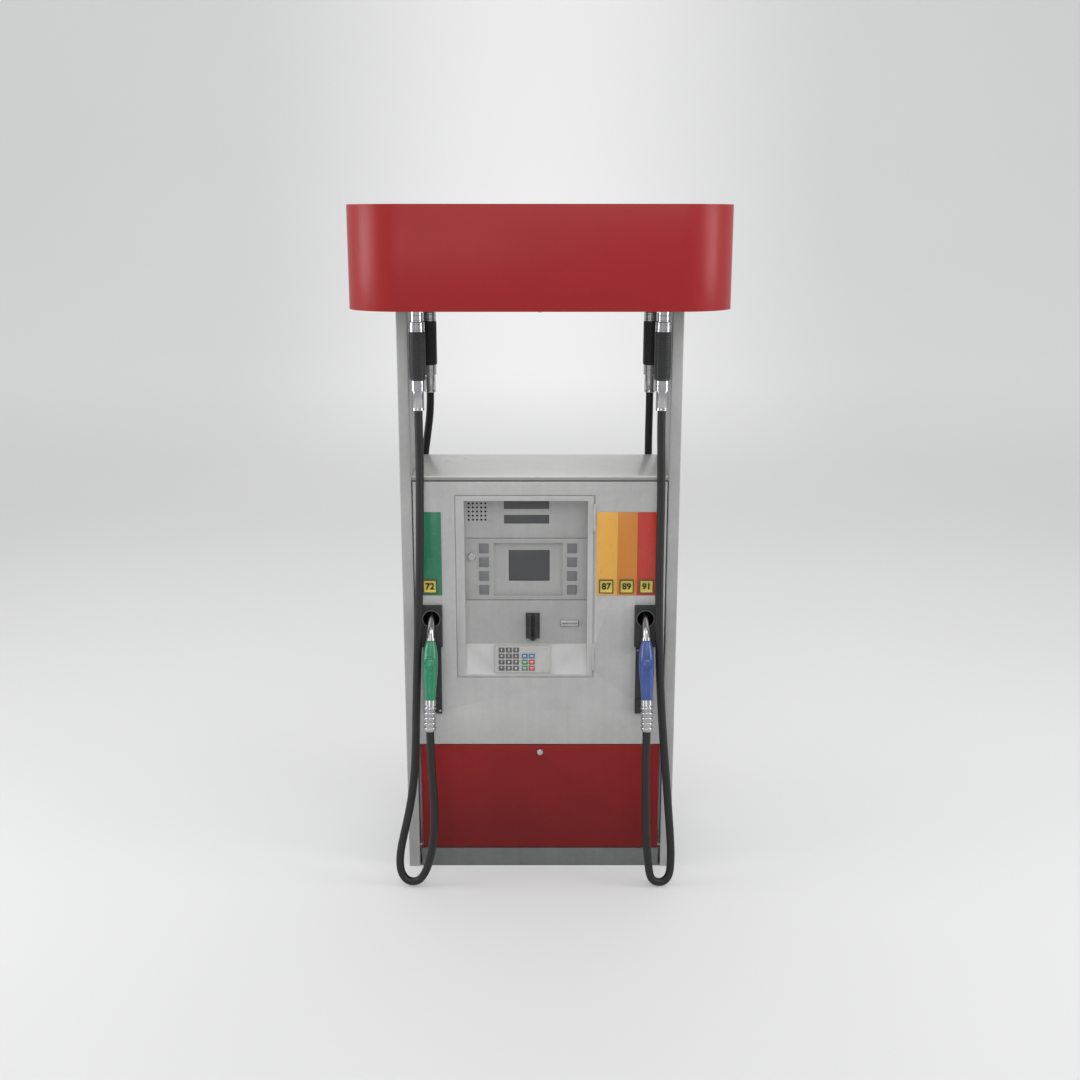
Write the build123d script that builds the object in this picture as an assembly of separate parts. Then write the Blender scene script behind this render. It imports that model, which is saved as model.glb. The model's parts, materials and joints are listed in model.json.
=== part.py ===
from build123d import *
import math
import os

# A two-sided fuel dispenser: a cabinet between two upright columns, under a canopy that carries four
# high-hung hoses. Millimetres, +Z up, the front faces -Y, and the origin is the middle of the base.
# Everything on the front is made once and turned half round about +Z for the rear.

# ---- overall sizes -------------------------------------------------------------------------------
TOTAL_HEIGHT = 2355.0
FRAME_WIDTH = 958.0          # outside of the two columns
FRAME_DEPTH = 450.0          # front of the columns to their rear
SHEET = 3.0                  # sheet metal of the panels, doors and trays
CLEAR = 0.3                  # gap between pieces that only lie beside each other
RUNNING = 0.05               # radial clearance of a pin or shaft that turns

# ---- canopy --------------------------------------------------------------------------------------
CANOPY_WIDTH = 1270.0
CANOPY_DEPTH = 750.0
CANOPY_HEIGHT = 335.0
CANOPY_CORNER = 195.0
FASCIA_WALL = 4.0
FASCIA_FLANGE = 18.0         # return at the fascia's lower edge, which carries the soffit
LID_STEP = 10.0              # the lid lies this far under the fascia's upper edge

# ---- columns and base ----------------------------------------------------------------------------
COLUMN_THICK = 39.0
COLUMN_CORNER = 4.0
PLINTH_HEIGHT = 70.0
PLINTH_SETBACK = 6.0
PLINTH_SIDE_GAP = 7.0
BASE_PLATE = 6.0
TRENCH_X = 680.0             # opening in the base plate for the product pipes
TRENCH_Y = 260.0
ANCHOR_X = 760.0             # hole-to-hole distances of the four anchor bolts
ANCHOR_Y = 340.0
ANCHOR_HOLE = 16.0

# ---- cabinet -------------------------------------------------------------------------------------
CABINET_TOP = 1455.0
COVER_SKIRT = 14.0
COVER_GAP = 4.0              # shadow gap between the top cover and the panels
PANEL_BOTTOM = 477.0
PANEL_SETBACK = 1.0          # panel face behind the column front
PANEL_SIDE_GAP = 3.0
PANEL_EDGE = 6.0             # rounding of the panel's front edges
PANEL_RETURN = 44.0          # depth of the panel's side walls
POST = 25.0                  # square post of the inner frame
POST_DEPTH = 30.0

# ---- lower door ----------------------------------------------------------------------------------
DOOR_GAP = 2.5
DOOR_HALF = 429.0
DOOR_SETBACK = 4.0
DOOR_RETURN = 20.0
DOOR_PIVOT_UP = 9.0          # pivot above the door's lower edge, and behind its face
DOOR_PIN = 8.0
LOWER_LOCK_DROP = 26.5       # lock centre under the door's upper edge
LOWER_HEAD = 22.0
LOWER_CAM_REACH = 35.0

# ---- bezel door ----------------------------------------------------------------------------------
BEZEL_LEFT, BEZEL_RIGHT = -291.0, 184.0
BEZEL_BOTTOM, BEZEL_TOP = 734.0, 1388.0
RECESS_LEFT, RECESS_RIGHT = -262.0, 165.0
RECESS_BOTTOM, RECESS_TOP = 740.0, 1370.0
RECESS_DEPTH = 42.0
SHELF_RISE = 104.0           # height of the slanted shelf that carries the keypad
HINGE_BARREL = 7.0
HINGE_PIN = 3.0
HINGE_HEIGHTS = (810.0, 1312.0)
KNUCKLE = 60.0
BEZEL_STOP = 12.0            # lip of the panel behind the bezel door's edge
SCREEN_HOOD = (-162.0, 79.0, 1020.0, 1212.0)
SCREEN_HOOD_DEPTH = 14.0
SCREEN_WINDOW = (-110.0, 34.0, 1071.0, 1183.0)
DISPLAY_WINDOWS = ((-125.0, 32.0, 1281.0, 1312.0), (-125.0, 32.0, 1333.0, 1365.0))
SEAM_HEIGHTS = (1005.0, 1229.0)
SPEAKER_CENTRE = (-218.5, 1323.5)
SPEAKER_PITCH = 14.5
SPEAKER_HOLE = 7.5
SOFT_KEY = 33.0
SOFT_KEY_COLUMNS = (-196.0, 112.0)
SOFT_KEY_PITCH = 50.0
SOFT_KEY_TOP = 1192.0
BEZEL_LOCK = (-239.0, 1162.0)
LOCK_BARREL = 18.0
LOCK_HEAD = 28.0
CAM_DEEP = 12.0              # cam behind the recess's back wall
CAM_REACH = 41.0
KEEPER_REACH = 21.0

# ---- keypad on the slanted shelf -----------------------------------------------------------------
KEYPAD_X = (-161.0, 40.0)
KEYPAD_LENGTH = 96.0
KEYPAD_THICK = 4.0
KEY_COLUMNS = (-136.0, -110.5, -85.0, -54.0, -29.0)
DIGIT_COLUMNS = 3
KEY_PITCH = 21.4
KEY_WIDTH, KEY_HEIGHT = 19.6, 15.5

# ---- card reader and receipt slot ----------------------------------------------------------------
READER = (-50.0, -1.0, 865.0, 958.0)
READER_PROUD = 20.0
RECEIPT = (72.0, 137.0, 909.0, 931.0)

# ---- grade strips and buttons --------------------------------------------------------------------
STRIP_Z = (1034.0, 1331.0)
STRIP_THICK = 1.5
LEFT_STRIPS = ((-410.0, -341.0),)
RIGHT_STRIPS = ((196.0, 268.4), (268.7, 336.6), (336.9, 408.0))
BUTTON_Z = (1042.0, 1091.0)
BUTTON_SPANS = {"72": (-407.0, -359.0), "87": (206.0, 255.0), "89": (277.0, 326.0), "91": (346.0, 395.0)}
BUTTON_PROUD = 5.0
BUTTON_TRAVEL = 3.0

# ---- nozzles, boots, fittings, hoses -------------------------------------------------------------
NOZZLE_INSET = {"left": 61.0, "right": 72.0}      # middle of each nozzle from its column
NOZZLE_FOOT_OUT = 135.0      # foot of the nozzle's body in front of the columns
NOZZLE_FOOT_Z = 695.0
NOZZLE_LEAN = 19.3           # degrees from upright, towards the panel
NOZZLE_BODY = 212.0
SPOUT = 24.0
SPOUT_NECK = 25.0
SPOUT_BEND = 35.0
SPOUT_REACH = 156.0
SPOUT_WALL = 1.5
GUARD_COLLAR = 18.0
GUARD_CHAIN = 86.0
GUARD_BEADS = 5
LEVER_PIN = 5.0
LEVER_PIVOT = (25.0, 152.0)
COVER_BACK = 9.7             # the cover ends here, clear of the guard and the lever's ears
COVER_STATIONS = ((1.3, 38, 36), (60, 45, 42), (98, 52, 50), (150, 52, 52), (184, 44, 44), (206, 32, 33))
POPPET_CAP, POPPET_Z = 44.0, 125.0
PORT = 58.0
PORT_Z = 953.0
BOOT_Z = (598.0, 849.0, 999.0)
BOOT_UPPER_HALF, BOOT_LOWER_HALF = 37.0, 31.0
BOOT_UPPER_PROUD, BOOT_LOWER_PROUD = 18.0, 8.0
CUP_HALF, CUP_Z, CUP_DEPTH = 33.0, (926.0, 1032.0), 84.0
CUP_MOUTH_TOP = 995.0        # the cup rises further once it is behind the panel
HOSE = 28.0
FITTING_INSET = 32.0         # middle of each hose fitting from its column
FITTING_OUT = 20.0
FITTING_RISE = 40.0          # the fitting's top above the canopy's underside
FITTING_DROPS = ((41.0, 43.0), (74.0, 53.0), (232.0, 34.0), (270.0, 50.0), (335.0, 41.0))
SLEEVE = 56.0
PIPE = 26.0
PIPE_Y = 90.0
METER_X = 300.0
METER_Z = (290.0, 420.0)
PIPE_CROSS_Z = 540.0
PIPE_RISE = 140.0            # the pipes' turn above the canopy's underside
SHELF_Z = 570.0
SOFFIT_SCREW = 5.0
BOOT_SCREW = 4.0

# ---- places that follow from the sizes -----------------------------------------------------------
FRONT = -FRAME_DEPTH / 2
COLUMN_IN = FRAME_WIDTH / 2 - COLUMN_THICK
CANOPY_BOTTOM = TOTAL_HEIGHT - CANOPY_HEIGHT
NOZZLE_X = {"left": NOZZLE_INSET["left"] - COLUMN_IN, "right": COLUMN_IN - NOZZLE_INSET["right"]}
FITTING_X = COLUMN_IN - FITTING_INSET
FITTING_TOP = CANOPY_BOTTOM + FITTING_RISE
FITTING_STEPS = [(CANOPY_BOTTOM - drop, diameter) for drop, diameter in FITTING_DROPS]
PIPE_TOP_Z = CANOPY_BOTTOM + PIPE_RISE
LID_UNDER = TOTAL_HEIGHT - LID_STEP - SHEET
FACE = FRONT + PANEL_SETBACK
PANEL_TOP = CABINET_TOP - COVER_SKIRT - COVER_GAP
PANEL_HALF = COLUMN_IN - PANEL_SIDE_GAP
POST_FRONT = FACE + PANEL_RETURN
DOOR_BOTTOM, DOOR_TOP = PLINTH_HEIGHT + SHEET, PANEL_BOTTOM - DOOR_GAP
DOOR_FACE = FRONT + DOOR_SETBACK
DOOR_PIVOT = (DOOR_FACE + DOOR_PIVOT_UP, DOOR_BOTTOM + DOOR_PIVOT_UP)
LOWER_LOCK_Z = DOOR_TOP - LOWER_LOCK_DROP
BACK_WALL = FACE + RECESS_DEPTH          # visible face of the recess's back wall
HINGE = (BEZEL_RIGHT + HINGE_BARREL / 2, FACE - HINGE_BARREL / 2)
SHELF_RUN = RECESS_DEPTH - SHEET + 1.0   # depth of the shelf's slope
SHELF_TILT = math.degrees(math.atan2(SHELF_RUN, SHELF_RISE))
HEADER_Z = (PANEL_BOTTOM + 13.0, PANEL_BOTTOM + 43.0)
KEEPER_Z = PANEL_BOTTOM - 9.0
KEEPER_HALF = 60.0


# ---- helpers -------------------------------------------------------------------------------------
def block(x0, x1, y0, y1, z0, z1):
    """A box between two corners."""
    return Pos((x0 + x1) / 2, (y0 + y1) / 2, (z0 + z1) / 2) * Box(x1 - x0, y1 - y0, z1 - z0)


def rod(diameter, start, end):
    """A round bar between two points."""
    a, b = Vector(*start), Vector(*end)
    along = b - a
    return Plane(origin=a, z_dir=along.normalized()) * extrude(Circle(diameter / 2), along.length)


def turned(steps, at):
    """A solid of revolution about +Z from (radius, height) pairs, closed along the axis."""
    outline = [(0, steps[0][1])] + list(steps) + [(0, steps[-1][1])]
    face = make_face(Polyline(*[(r, 0, z) for r, z in outline], close=True))
    return Pos(*at) * revolve(face, Axis.Z)


def slab(outline, plane, depth):
    """A flat outline on a plane, given thickness both ways."""
    return extrude(plane * make_face(Polyline(*outline, close=True)), depth / 2, both=True)


def softened(shape, edges, radius):
    return fillet(edges(shape), radius)


def front_edges(shape):
    return shape.faces().sort_by(Axis.Y)[0].edges()


def upright_edges(shape):
    return shape.edges().filter_by(Axis.Z)


def pan(x0, x1, z0, z1, face_y, depth, wall, rounding):
    """A sheet metal pan, open at the back, with rounded front edges."""
    outer = softened(block(x0, x1, face_y, face_y + depth, z0, z1), front_edges, rounding)
    inner = block(x0 + wall, x1 - wall, face_y + wall, face_y + depth, z0 + wall, z1 - wall)
    inner = softened(inner, front_edges, rounding - wall / 2)
    return outer - inner


def turn_round(shape, side):
    """Front pieces stay, rear pieces are the same turned half round about +Z."""
    return shape if side == "front" else Rot(0, 0, 180) * shape


def both_sides(shapes):
    return [turn_round(shape, side) for side in ("front", "rear") for shape in shapes]


def save(name, shapes):
    solids = []
    for shape in shapes if isinstance(shapes, list) else [shapes]:
        solids += list(shape.solids())
    export_step(Compound(children=solids) if len(solids) > 1 else solids[0], f"parts/{name}.step")


# ---- canopy --------------------------------------------------------------------------------------
def canopy_outline(inset):
    return RectangleRounded(CANOPY_WIDTH - 2 * inset, CANOPY_DEPTH - 2 * inset, CANOPY_CORNER - inset)


def canopy_fascia():
    wall = extrude(canopy_outline(0) - canopy_outline(FASCIA_WALL), CANOPY_HEIGHT)
    flange = extrude(canopy_outline(FASCIA_WALL / 2) - canopy_outline(FASCIA_WALL + FASCIA_FLANGE), SHEET)
    fascia = Pos(0, 0, CANOPY_BOTTOM) * (wall + flange)
    for at in soffit_screw_places():
        fascia -= rod(SOFFIT_SCREW, (*at, CANOPY_BOTTOM - 1), (*at, CANOPY_BOTTOM + 2 * SHEET))
    return fascia


def column_slots(clear):
    half = COLUMN_THICK / 2 + clear
    middle = COLUMN_IN + COLUMN_THICK / 2
    return [Pos(side * middle, 0) * Rectangle(2 * half, FRAME_DEPTH + 2 * clear) for side in (-1, 1)]


def canopy_soffit():
    plate = canopy_outline(FASCIA_WALL)
    for slot in column_slots(CLEAR):
        plate -= slot
    for x, y in fitting_places():
        plate -= Pos(x, y) * Circle(FITTING_STEPS[0][1] / 2 + CLEAR)
    soffit = Pos(0, 0, CANOPY_BOTTOM + SHEET) * extrude(plate, SHEET)
    for at in soffit_screw_places():
        soffit -= rod(SOFFIT_SCREW, (*at, CANOPY_BOTTOM), (*at, CANOPY_BOTTOM + 3 * SHEET))
    return soffit


def canopy_lid():
    """The tray that closes the canopy's top: it lies on the columns and is turned up at its edge."""
    plate = extrude(canopy_outline(FASCIA_WALL), SHEET)
    rim = extrude(canopy_outline(FASCIA_WALL) - canopy_outline(FASCIA_WALL + SHEET), LID_STEP)
    return Pos(0, 0, LID_UNDER) * (plate + rim)


# ---- columns, base, inner frame ------------------------------------------------------------------
def column(side):
    """A sheet metal slab, open at both ends, with the pivot pins of the lower doors."""
    outer = RectangleRounded(COLUMN_THICK, FRAME_DEPTH, COLUMN_CORNER)
    inner = RectangleRounded(COLUMN_THICK - 2 * SHEET, FRAME_DEPTH - 2 * SHEET, COLUMN_CORNER - SHEET / 2)
    middle = side * (COLUMN_IN + COLUMN_THICK / 2)
    tube = Pos(middle, 0, 0) * extrude(outer - inner, LID_UNDER)
    for y in (-PIPE_Y, PIPE_Y):
        for z in (PIPE_CROSS_Z, PIPE_TOP_Z):
            tube -= rod(PIPE + 8, (side * (COLUMN_IN - 1), y, z), (side * (COLUMN_IN + SHEET + 1), y, z))
    for turn in (1, -1):
        y, z = turn * DOOR_PIVOT[0], DOOR_PIVOT[1]
        tube += rod(DOOR_PIN, (side * (DOOR_HALF - SHEET - 1), y, z), (side * (COLUMN_IN + 1), y, z))
    return tube


def base_plinth():
    edge = FRAME_DEPTH / 2 - PLINTH_SETBACK
    half = COLUMN_IN - PLINTH_SIDE_GAP
    plinth = block(-COLUMN_IN, COLUMN_IN, -edge, edge, 0, BASE_PLATE)
    for turn in (-1, 1):
        y0, y1 = sorted((turn * edge, turn * (edge - SHEET)))
        plinth += block(-half, half, y0, y1, 0, PLINTH_HEIGHT)
        y0, y1 = sorted((turn * edge, turn * (edge - DOOR_RETURN)))
        plinth += block(-half, half, y0, y1, PLINTH_HEIGHT - SHEET, PLINTH_HEIGHT)
    plinth -= block(-TRENCH_X / 2, TRENCH_X / 2, -TRENCH_Y / 2, TRENCH_Y / 2, -1, BASE_PLATE + 1)
    for x in (-ANCHOR_X / 2, ANCHOR_X / 2):
        for y in (-ANCHOR_Y / 2, ANCHOR_Y / 2):
            plinth -= rod(ANCHOR_HOLE, (x, y, -1), (x, y, BASE_PLATE + 1))
    return plinth


def inner_frame():
    """Four posts, their cross beams, the shelf between hydraulics and electronics, and the keepers."""
    back = POST_FRONT + POST_DEPTH
    parts = []
    for side in (-1, 1):
        x0, x1 = sorted((side * COLUMN_IN, side * (COLUMN_IN - POST)))
        parts += both_sides([block(x0, x1, POST_FRONT, back, BASE_PLATE, CABINET_TOP - SHEET)])
    reach = COLUMN_IN - POST / 2
    parts += both_sides([
        block(-reach, reach, POST_FRONT, back, *HEADER_Z),
        block(-reach, reach, POST_FRONT, back, PANEL_TOP - POST_DEPTH, PANEL_TOP),
        block(-KEEPER_HALF, KEEPER_HALF, POST_FRONT - SHEET, POST_FRONT + 1, KEEPER_Z, HEADER_Z[1]),
    ])
    parts.append(block(-reach, reach, POST_FRONT + 1, -POST_FRONT - 1, SHELF_Z, SHELF_Z + SHEET))
    frame = parts[0]
    for piece in parts[1:]:
        frame += piece
    return frame


def cabinet_top_cover():
    """A shallow sheet metal channel over the cabinet, with a skirt at the front and at the rear."""
    half, edge = COLUMN_IN - CLEAR, FRAME_DEPTH / 2 - PLINTH_SETBACK + 2
    outer = block(-half, half, -edge, edge, CABINET_TOP - COVER_SKIRT, CABINET_TOP)
    outer = fillet(outer.edges().filter_by(Axis.X).sort_by(Axis.Z)[-2:], 5)
    inner = block(-half - 1, half + 1, -edge + SHEET, edge - SHEET,
                  CABINET_TOP - COVER_SKIRT - 1, CABINET_TOP - SHEET)
    return outer - inner


# ---- cabinet panels ------------------------------------------------------------------------------
def cabinet_panel():
    """The front panel: a pan with openings for the bezel door, the buttons and the nozzle cups."""
    panel = pan(-PANEL_HALF, PANEL_HALF, PANEL_BOTTOM, PANEL_TOP, FACE, PANEL_RETURN, SHEET, PANEL_EDGE)
    x0, x1 = BEZEL_LEFT - DOOR_GAP, HINGE[0] + HINGE_BARREL / 2
    z0, z1 = BEZEL_BOTTOM - DOOR_GAP, BEZEL_TOP + DOOR_GAP
    panel -= block(x0, x1, FACE - 1, FACE + SHEET + 1, z0, z1)
    lip_y = FACE + SHEET + 1
    lip = block(x0 - SHEET, x1 + SHEET, lip_y - 1.5, lip_y + SHEET, z0 - SHEET, z1 + SHEET)
    lip -= block(x0, x1, lip_y - 2, lip_y, z0, z1)
    lip -= block(x0 + BEZEL_STOP, x1 - BEZEL_STOP, lip_y - 2, lip_y + SHEET + 1,
                 RECESS_BOTTOM - SHEET - 2, z1 - BEZEL_STOP)
    panel += lip
    for span in BUTTON_SPANS.values():
        panel -= block(span[0] + 2, span[1] - 2, FACE - 1, FACE + SHEET + 1, BUTTON_Z[0] + 2, BUTTON_Z[1] - 2)
    for x in NOZZLE_X.values():
        panel -= block(x - CUP_HALF - CLEAR, x + CUP_HALF + CLEAR, FACE - 1, FACE + SHEET + 1,
                       CUP_Z[0] - CLEAR, CUP_MOUTH_TOP + CLEAR)
        for at in boot_screw_places(x):
            panel -= rod(BOOT_SCREW, (at[0], FACE - 1, at[1]), (at[0], FACE + SHEET + 1, at[1]))
    panel -= block(-KEEPER_HALF - CLEAR, KEEPER_HALF + CLEAR, POST_FRONT - SHEET - CLEAR, POST_FRONT + 1,
                   PANEL_BOTTOM - 1, PANEL_BOTTOM + SHEET + 1)
    panel += bezel_keeper(x0)
    for middle in HINGE_HEIGHTS:
        panel += panel_knuckles(middle)
    return panel


def bezel_keeper(edge_x):
    """The tab behind which the bezel lock's cam turns."""
    z0, z1 = BEZEL_LOCK[1] - 14, BEZEL_LOCK[1] + 14
    back = BACK_WALL + CAM_DEEP - SHEET
    arm = block(edge_x + 5, edge_x + 5 + SHEET, FACE + SHEET + 2, back, z0, z1)
    return arm + block(edge_x + 5, edge_x + KEEPER_REACH, back - SHEET, back, z0, z1)


def panel_knuckles(middle):
    """Two fixed hinge knuckles with one pin, above and below the door's knuckle."""
    x, y = HINGE
    half = KNUCKLE / 2
    fixed = rod(HINGE_PIN, (x, y, middle - half - 18), (x, y, middle + half + 18))
    for z0, z1 in ((middle - half - 20, middle - half - CLEAR), (middle + half + CLEAR, middle + half + 20)):
        fixed += rod(HINGE_BARREL, (x, y, z0), (x, y, z1))
        fixed += block(x, x + HINGE_BARREL, y, FACE + 1, z0, z1)
    return fixed


# ---- bezel door ----------------------------------------------------------------------------------
def bezel_door():
    """The electronics door: a flat rim round a recess with a slanted keypad shelf at its foot."""
    leaf = block(BEZEL_LEFT, BEZEL_RIGHT, FACE, FACE + SHEET, BEZEL_BOTTOM, BEZEL_TOP)
    box = block(RECESS_LEFT - SHEET, RECESS_RIGHT + SHEET, FACE, BACK_WALL + SHEET,
                RECESS_BOTTOM - SHEET, RECESS_TOP + SHEET)
    hood = SCREEN_HOOD
    box += block(hood[0] - SHEET, hood[1] + SHEET, BACK_WALL, BACK_WALL + SCREEN_HOOD_DEPTH + SHEET,
                 hood[2] - SHEET, hood[3] + SHEET)
    door = leaf + box
    door -= recess_space()
    door -= block(hood[0], hood[1], BACK_WALL - 1, BACK_WALL + SCREEN_HOOD_DEPTH, hood[2], hood[3])
    deep = BACK_WALL + SCREEN_HOOD_DEPTH
    x0, x1, z0, z1 = SCREEN_WINDOW
    door -= block(x0, x1, deep - 1, deep + SHEET + 1, z0, z1)
    for x0, x1, z0, z1 in DISPLAY_WINDOWS:
        door -= block(x0, x1, BACK_WALL - 1, BACK_WALL + SHEET + 1, z0, z1)
    for x, z in soft_key_places():
        half = SOFT_KEY / 2 + CLEAR
        door -= block(x - half, x + half, BACK_WALL - 1, BACK_WALL + SHEET + 1, z - half, z + half)
    for z in SEAM_HEIGHTS:
        door -= block(RECESS_LEFT, RECESS_RIGHT, BACK_WALL - 1, BACK_WALL + 1.2, z - 1, z + 1)
    for x, z in speaker_holes():
        door -= rod(SPEAKER_HOLE, (x, BACK_WALL - 1, z), (x, BACK_WALL + SHEET + 1, z))
    door -= rod(LOCK_BARREL + 2 * RUNNING, (BEZEL_LOCK[0], BACK_WALL - 1, BEZEL_LOCK[1]),
                (BEZEL_LOCK[0], BACK_WALL + SHEET + 1, BEZEL_LOCK[1]))
    door -= keypad_pocket()
    return door + door_knuckles()


def recess_space():
    """The hollow of the recess: straight walls above, and the slanted shelf's face below."""
    y0, y1 = FACE - 1, BACK_WALL
    foot = RECESS_BOTTOM
    outline = [(y0, foot), (y0, RECESS_TOP), (y1, RECESS_TOP), (y1, foot + SHELF_RISE), (FACE + 2, foot)]
    face = make_face(Polyline(*[(0, y, z) for y, z in outline], close=True))
    middle = (RECESS_LEFT + RECESS_RIGHT) / 2
    return Pos(middle, 0, 0) * extrude(face, (RECESS_RIGHT - RECESS_LEFT) / 2, dir=(1, 0, 0), both=True)


def shelf_place(along, out):
    """A place on the shelf's middle line: along the slope from its middle, and out of its face."""
    tilt = math.radians(SHELF_TILT)
    y = (FACE + 2 + BACK_WALL) / 2 + along * math.sin(tilt) - out * math.cos(tilt)
    z = RECESS_BOTTOM + SHELF_RISE / 2 + along * math.cos(tilt) + out * math.sin(tilt)
    return y, z


def on_shelf(shape, x, along, out):
    """Lays a piece made flat on XZ, facing -Y, on the slanted shelf."""
    y, z = shelf_place(along, out)
    return Pos(x, y, z) * Rot(-SHELF_TILT, 0, 0) * shape


def key_places():
    """(x, along the slope) of each key: a block of digits and two columns of function keys."""
    places = []
    for column_index, x in enumerate(KEY_COLUMNS):
        for row in range(4):
            if column_index >= DIGIT_COLUMNS and row == 0:
                continue
            places.append((x, (1.5 - row) * KEY_PITCH))
    return places


def keypad_pocket():
    """The shelf is cut away behind the keypad so that its keys can travel."""
    middle = sum(KEYPAD_X) / 2
    width = KEYPAD_X[1] - KEYPAD_X[0] - 12
    return on_shelf(Box(width, 30, KEYPAD_LENGTH - 12), middle, 0, -14)


def keypad_plate():
    middle = sum(KEYPAD_X) / 2
    plate = on_shelf(Box(KEYPAD_X[1] - KEYPAD_X[0], KEYPAD_THICK, KEYPAD_LENGTH), middle, 0, KEYPAD_THICK / 2)
    for x, along in key_places():
        plate -= on_shelf(Box(KEY_WIDTH + 2 * CLEAR, 20, KEY_HEIGHT + 2 * CLEAR), x, along, 0)
    return plate


def keypad_keys():
    """Each key is a cap through the plate with a skirt behind it that keeps it in."""
    keys = []
    for x, along in key_places():
        cap = on_shelf(Box(KEY_WIDTH, 7, KEY_HEIGHT), x, along, KEYPAD_THICK - 1)
        skirt = on_shelf(Box(KEY_WIDTH + 2, 1.2, KEY_HEIGHT + 2), x, along, -CLEAR - 0.6)
        keys.append(cap + skirt)
    return keys


def soft_key_places():
    return [(x, SOFT_KEY_TOP - row * SOFT_KEY_PITCH) for x in SOFT_KEY_COLUMNS for row in range(4)]


def soft_keys():
    keys = []
    back = BACK_WALL + SHEET + CLEAR
    for x, z in soft_key_places():
        half, skirt = SOFT_KEY / 2, SOFT_KEY / 2 + 2
        cap = block(x - half, x + half, BACK_WALL - 2.5, back + 1, z - half, z + half)
        keys.append(cap + block(x - skirt, x + skirt, back, back + 1.5, z - skirt, z + skirt))
    return keys


def speaker_holes():
    x, z = SPEAKER_CENTRE
    steps = [(index - 2) * SPEAKER_PITCH for index in range(5)]
    return [(x + across, z + up) for across in steps for up in steps]


def displays():
    """The screen and two amount windows, let into the door."""
    deep = BACK_WALL + SCREEN_HOOD_DEPTH
    glasses = []
    for (x0, x1, z0, z1), y in [(SCREEN_WINDOW, deep)] + [(window, BACK_WALL) for window in DISPLAY_WINDOWS]:
        glasses.append(block(x0 + CLEAR, x1 - CLEAR, y + 0.5, y + SHEET, z0 + CLEAR, z1 - CLEAR))
    return glasses


def card_reader():
    """A reader with a slot between two lobes and a rounded tab at its foot, and the receipt mouth."""
    x0, x1, z0, z1 = READER
    middle = (x0 + x1) / 2
    body = block(x0, x1, BACK_WALL - READER_PROUD * 0.4, BACK_WALL, z0, z1)
    for lobe in (middle - 12, middle + 12):
        lobe_body = block(lobe - 8, lobe + 8, BACK_WALL - READER_PROUD, BACK_WALL, z0 + 3, z1 - 2)
        body += softened(lobe_body, front_edges, 6)
    body += rod(22, (middle, BACK_WALL - READER_PROUD * 0.55, z0 + 2), (middle, BACK_WALL, z0 + 2))
    body -= block(middle - 1.3, middle + 1.3, BACK_WALL - READER_PROUD - 1, BACK_WALL - 4, z0 - 12, z1 - 12)
    x0, x1, z0, z1 = RECEIPT
    mouth = block(x0, x1, BACK_WALL - 7, BACK_WALL, z0, z1)
    mouth = softened(mouth, front_edges, 4)
    mouth -= block(x0 + 7, x1 - 7, BACK_WALL - 8, BACK_WALL - 1, (z0 + z1) / 2 - 1.7, (z0 + z1) / 2 + 1.7)
    return [body, mouth]


def door_knuckles():
    x, y = HINGE
    knuckles = None
    for middle in HINGE_HEIGHTS:
        z0, z1 = middle - KNUCKLE / 2, middle + KNUCKLE / 2
        piece = rod(HINGE_BARREL, (x, y, z0), (x, y, z1)) + block(BEZEL_RIGHT - 2, x, y, FACE + SHEET, z0, z1)
        piece -= rod(HINGE_PIN + 2 * RUNNING, (x, y, z0 - 1), (x, y, z1 + 1))
        knuckles = piece if knuckles is None else knuckles + piece
    return knuckles


# ---- locks ---------------------------------------------------------------------------------------


def lock(x, z, face_y, cam_y, head, reach, cam_turn):
    """A cam lock: domed head with a key slot, barrel, and a flat cam that stands at cam_turn degrees."""
    face = face_y - CLEAR
    cylinder = rod(LOCK_BARREL, (x, face - 3, z), (x, cam_y + SHEET, z))
    cylinder += softened(rod(head, (x, face - 5, z), (x, face, z)), front_edges, 2.5)
    cylinder -= block(x - 1, x + 1, face - 6, face - 2, z - 5, z + 5)
    cam = block(x - 8, x + 8, cam_y, cam_y + SHEET, z - 8, z + reach)
    cam = Pos(x, 0, z) * Rot(0, cam_turn, 0) * Pos(-x, 0, -z) * cam
    return cylinder + cam


def bezel_lock():
    return lock(*BEZEL_LOCK, BACK_WALL, BACK_WALL + CAM_DEEP, LOCK_HEAD, CAM_REACH, 0)


def lower_lock():
    return lock(0, LOWER_LOCK_Z, DOOR_FACE - 1.5, POST_FRONT + 1.5, LOWER_HEAD, LOWER_CAM_REACH, -90)


def lower_door():
    """The red hydraulics door: a pan that pivots on two pins at its foot."""
    door = pan(-DOOR_HALF, DOOR_HALF, DOOR_BOTTOM, DOOR_TOP, DOOR_FACE, DOOR_RETURN, SHEET, 3.5)
    ring = rod(29, (0, DOOR_FACE - 1.5, LOWER_LOCK_Z), (0, DOOR_FACE + 1, LOWER_LOCK_Z))
    door += ring
    door -= rod(LOCK_BARREL + 2 * RUNNING, (0, DOOR_FACE - 3, LOWER_LOCK_Z),
                (0, DOOR_FACE + SHEET + 1, LOWER_LOCK_Z))
    y, z = DOOR_PIVOT
    return door - rod(DOOR_PIN + 2 * RUNNING, (-DOOR_HALF - 1, y, z), (DOOR_HALF + 1, y, z))


# ---- grade strips and buttons --------------------------------------------------------------------
def grade_strips():
    """Coloured strips on the panel, each with a cut-out where its button comes through."""
    strips = []
    for x0, x1 in LEFT_STRIPS + RIGHT_STRIPS:
        strip = block(x0, x1, FACE - STRIP_THICK, FACE, *STRIP_Z)
        for span in BUTTON_SPANS.values():
            strip -= block(span[0] - CLEAR, span[1] + CLEAR, FACE - 3, FACE + 1,
                           BUTTON_Z[0] - CLEAR, BUTTON_Z[1] + CLEAR)
        strips.append(strip)
    return strips


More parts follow.
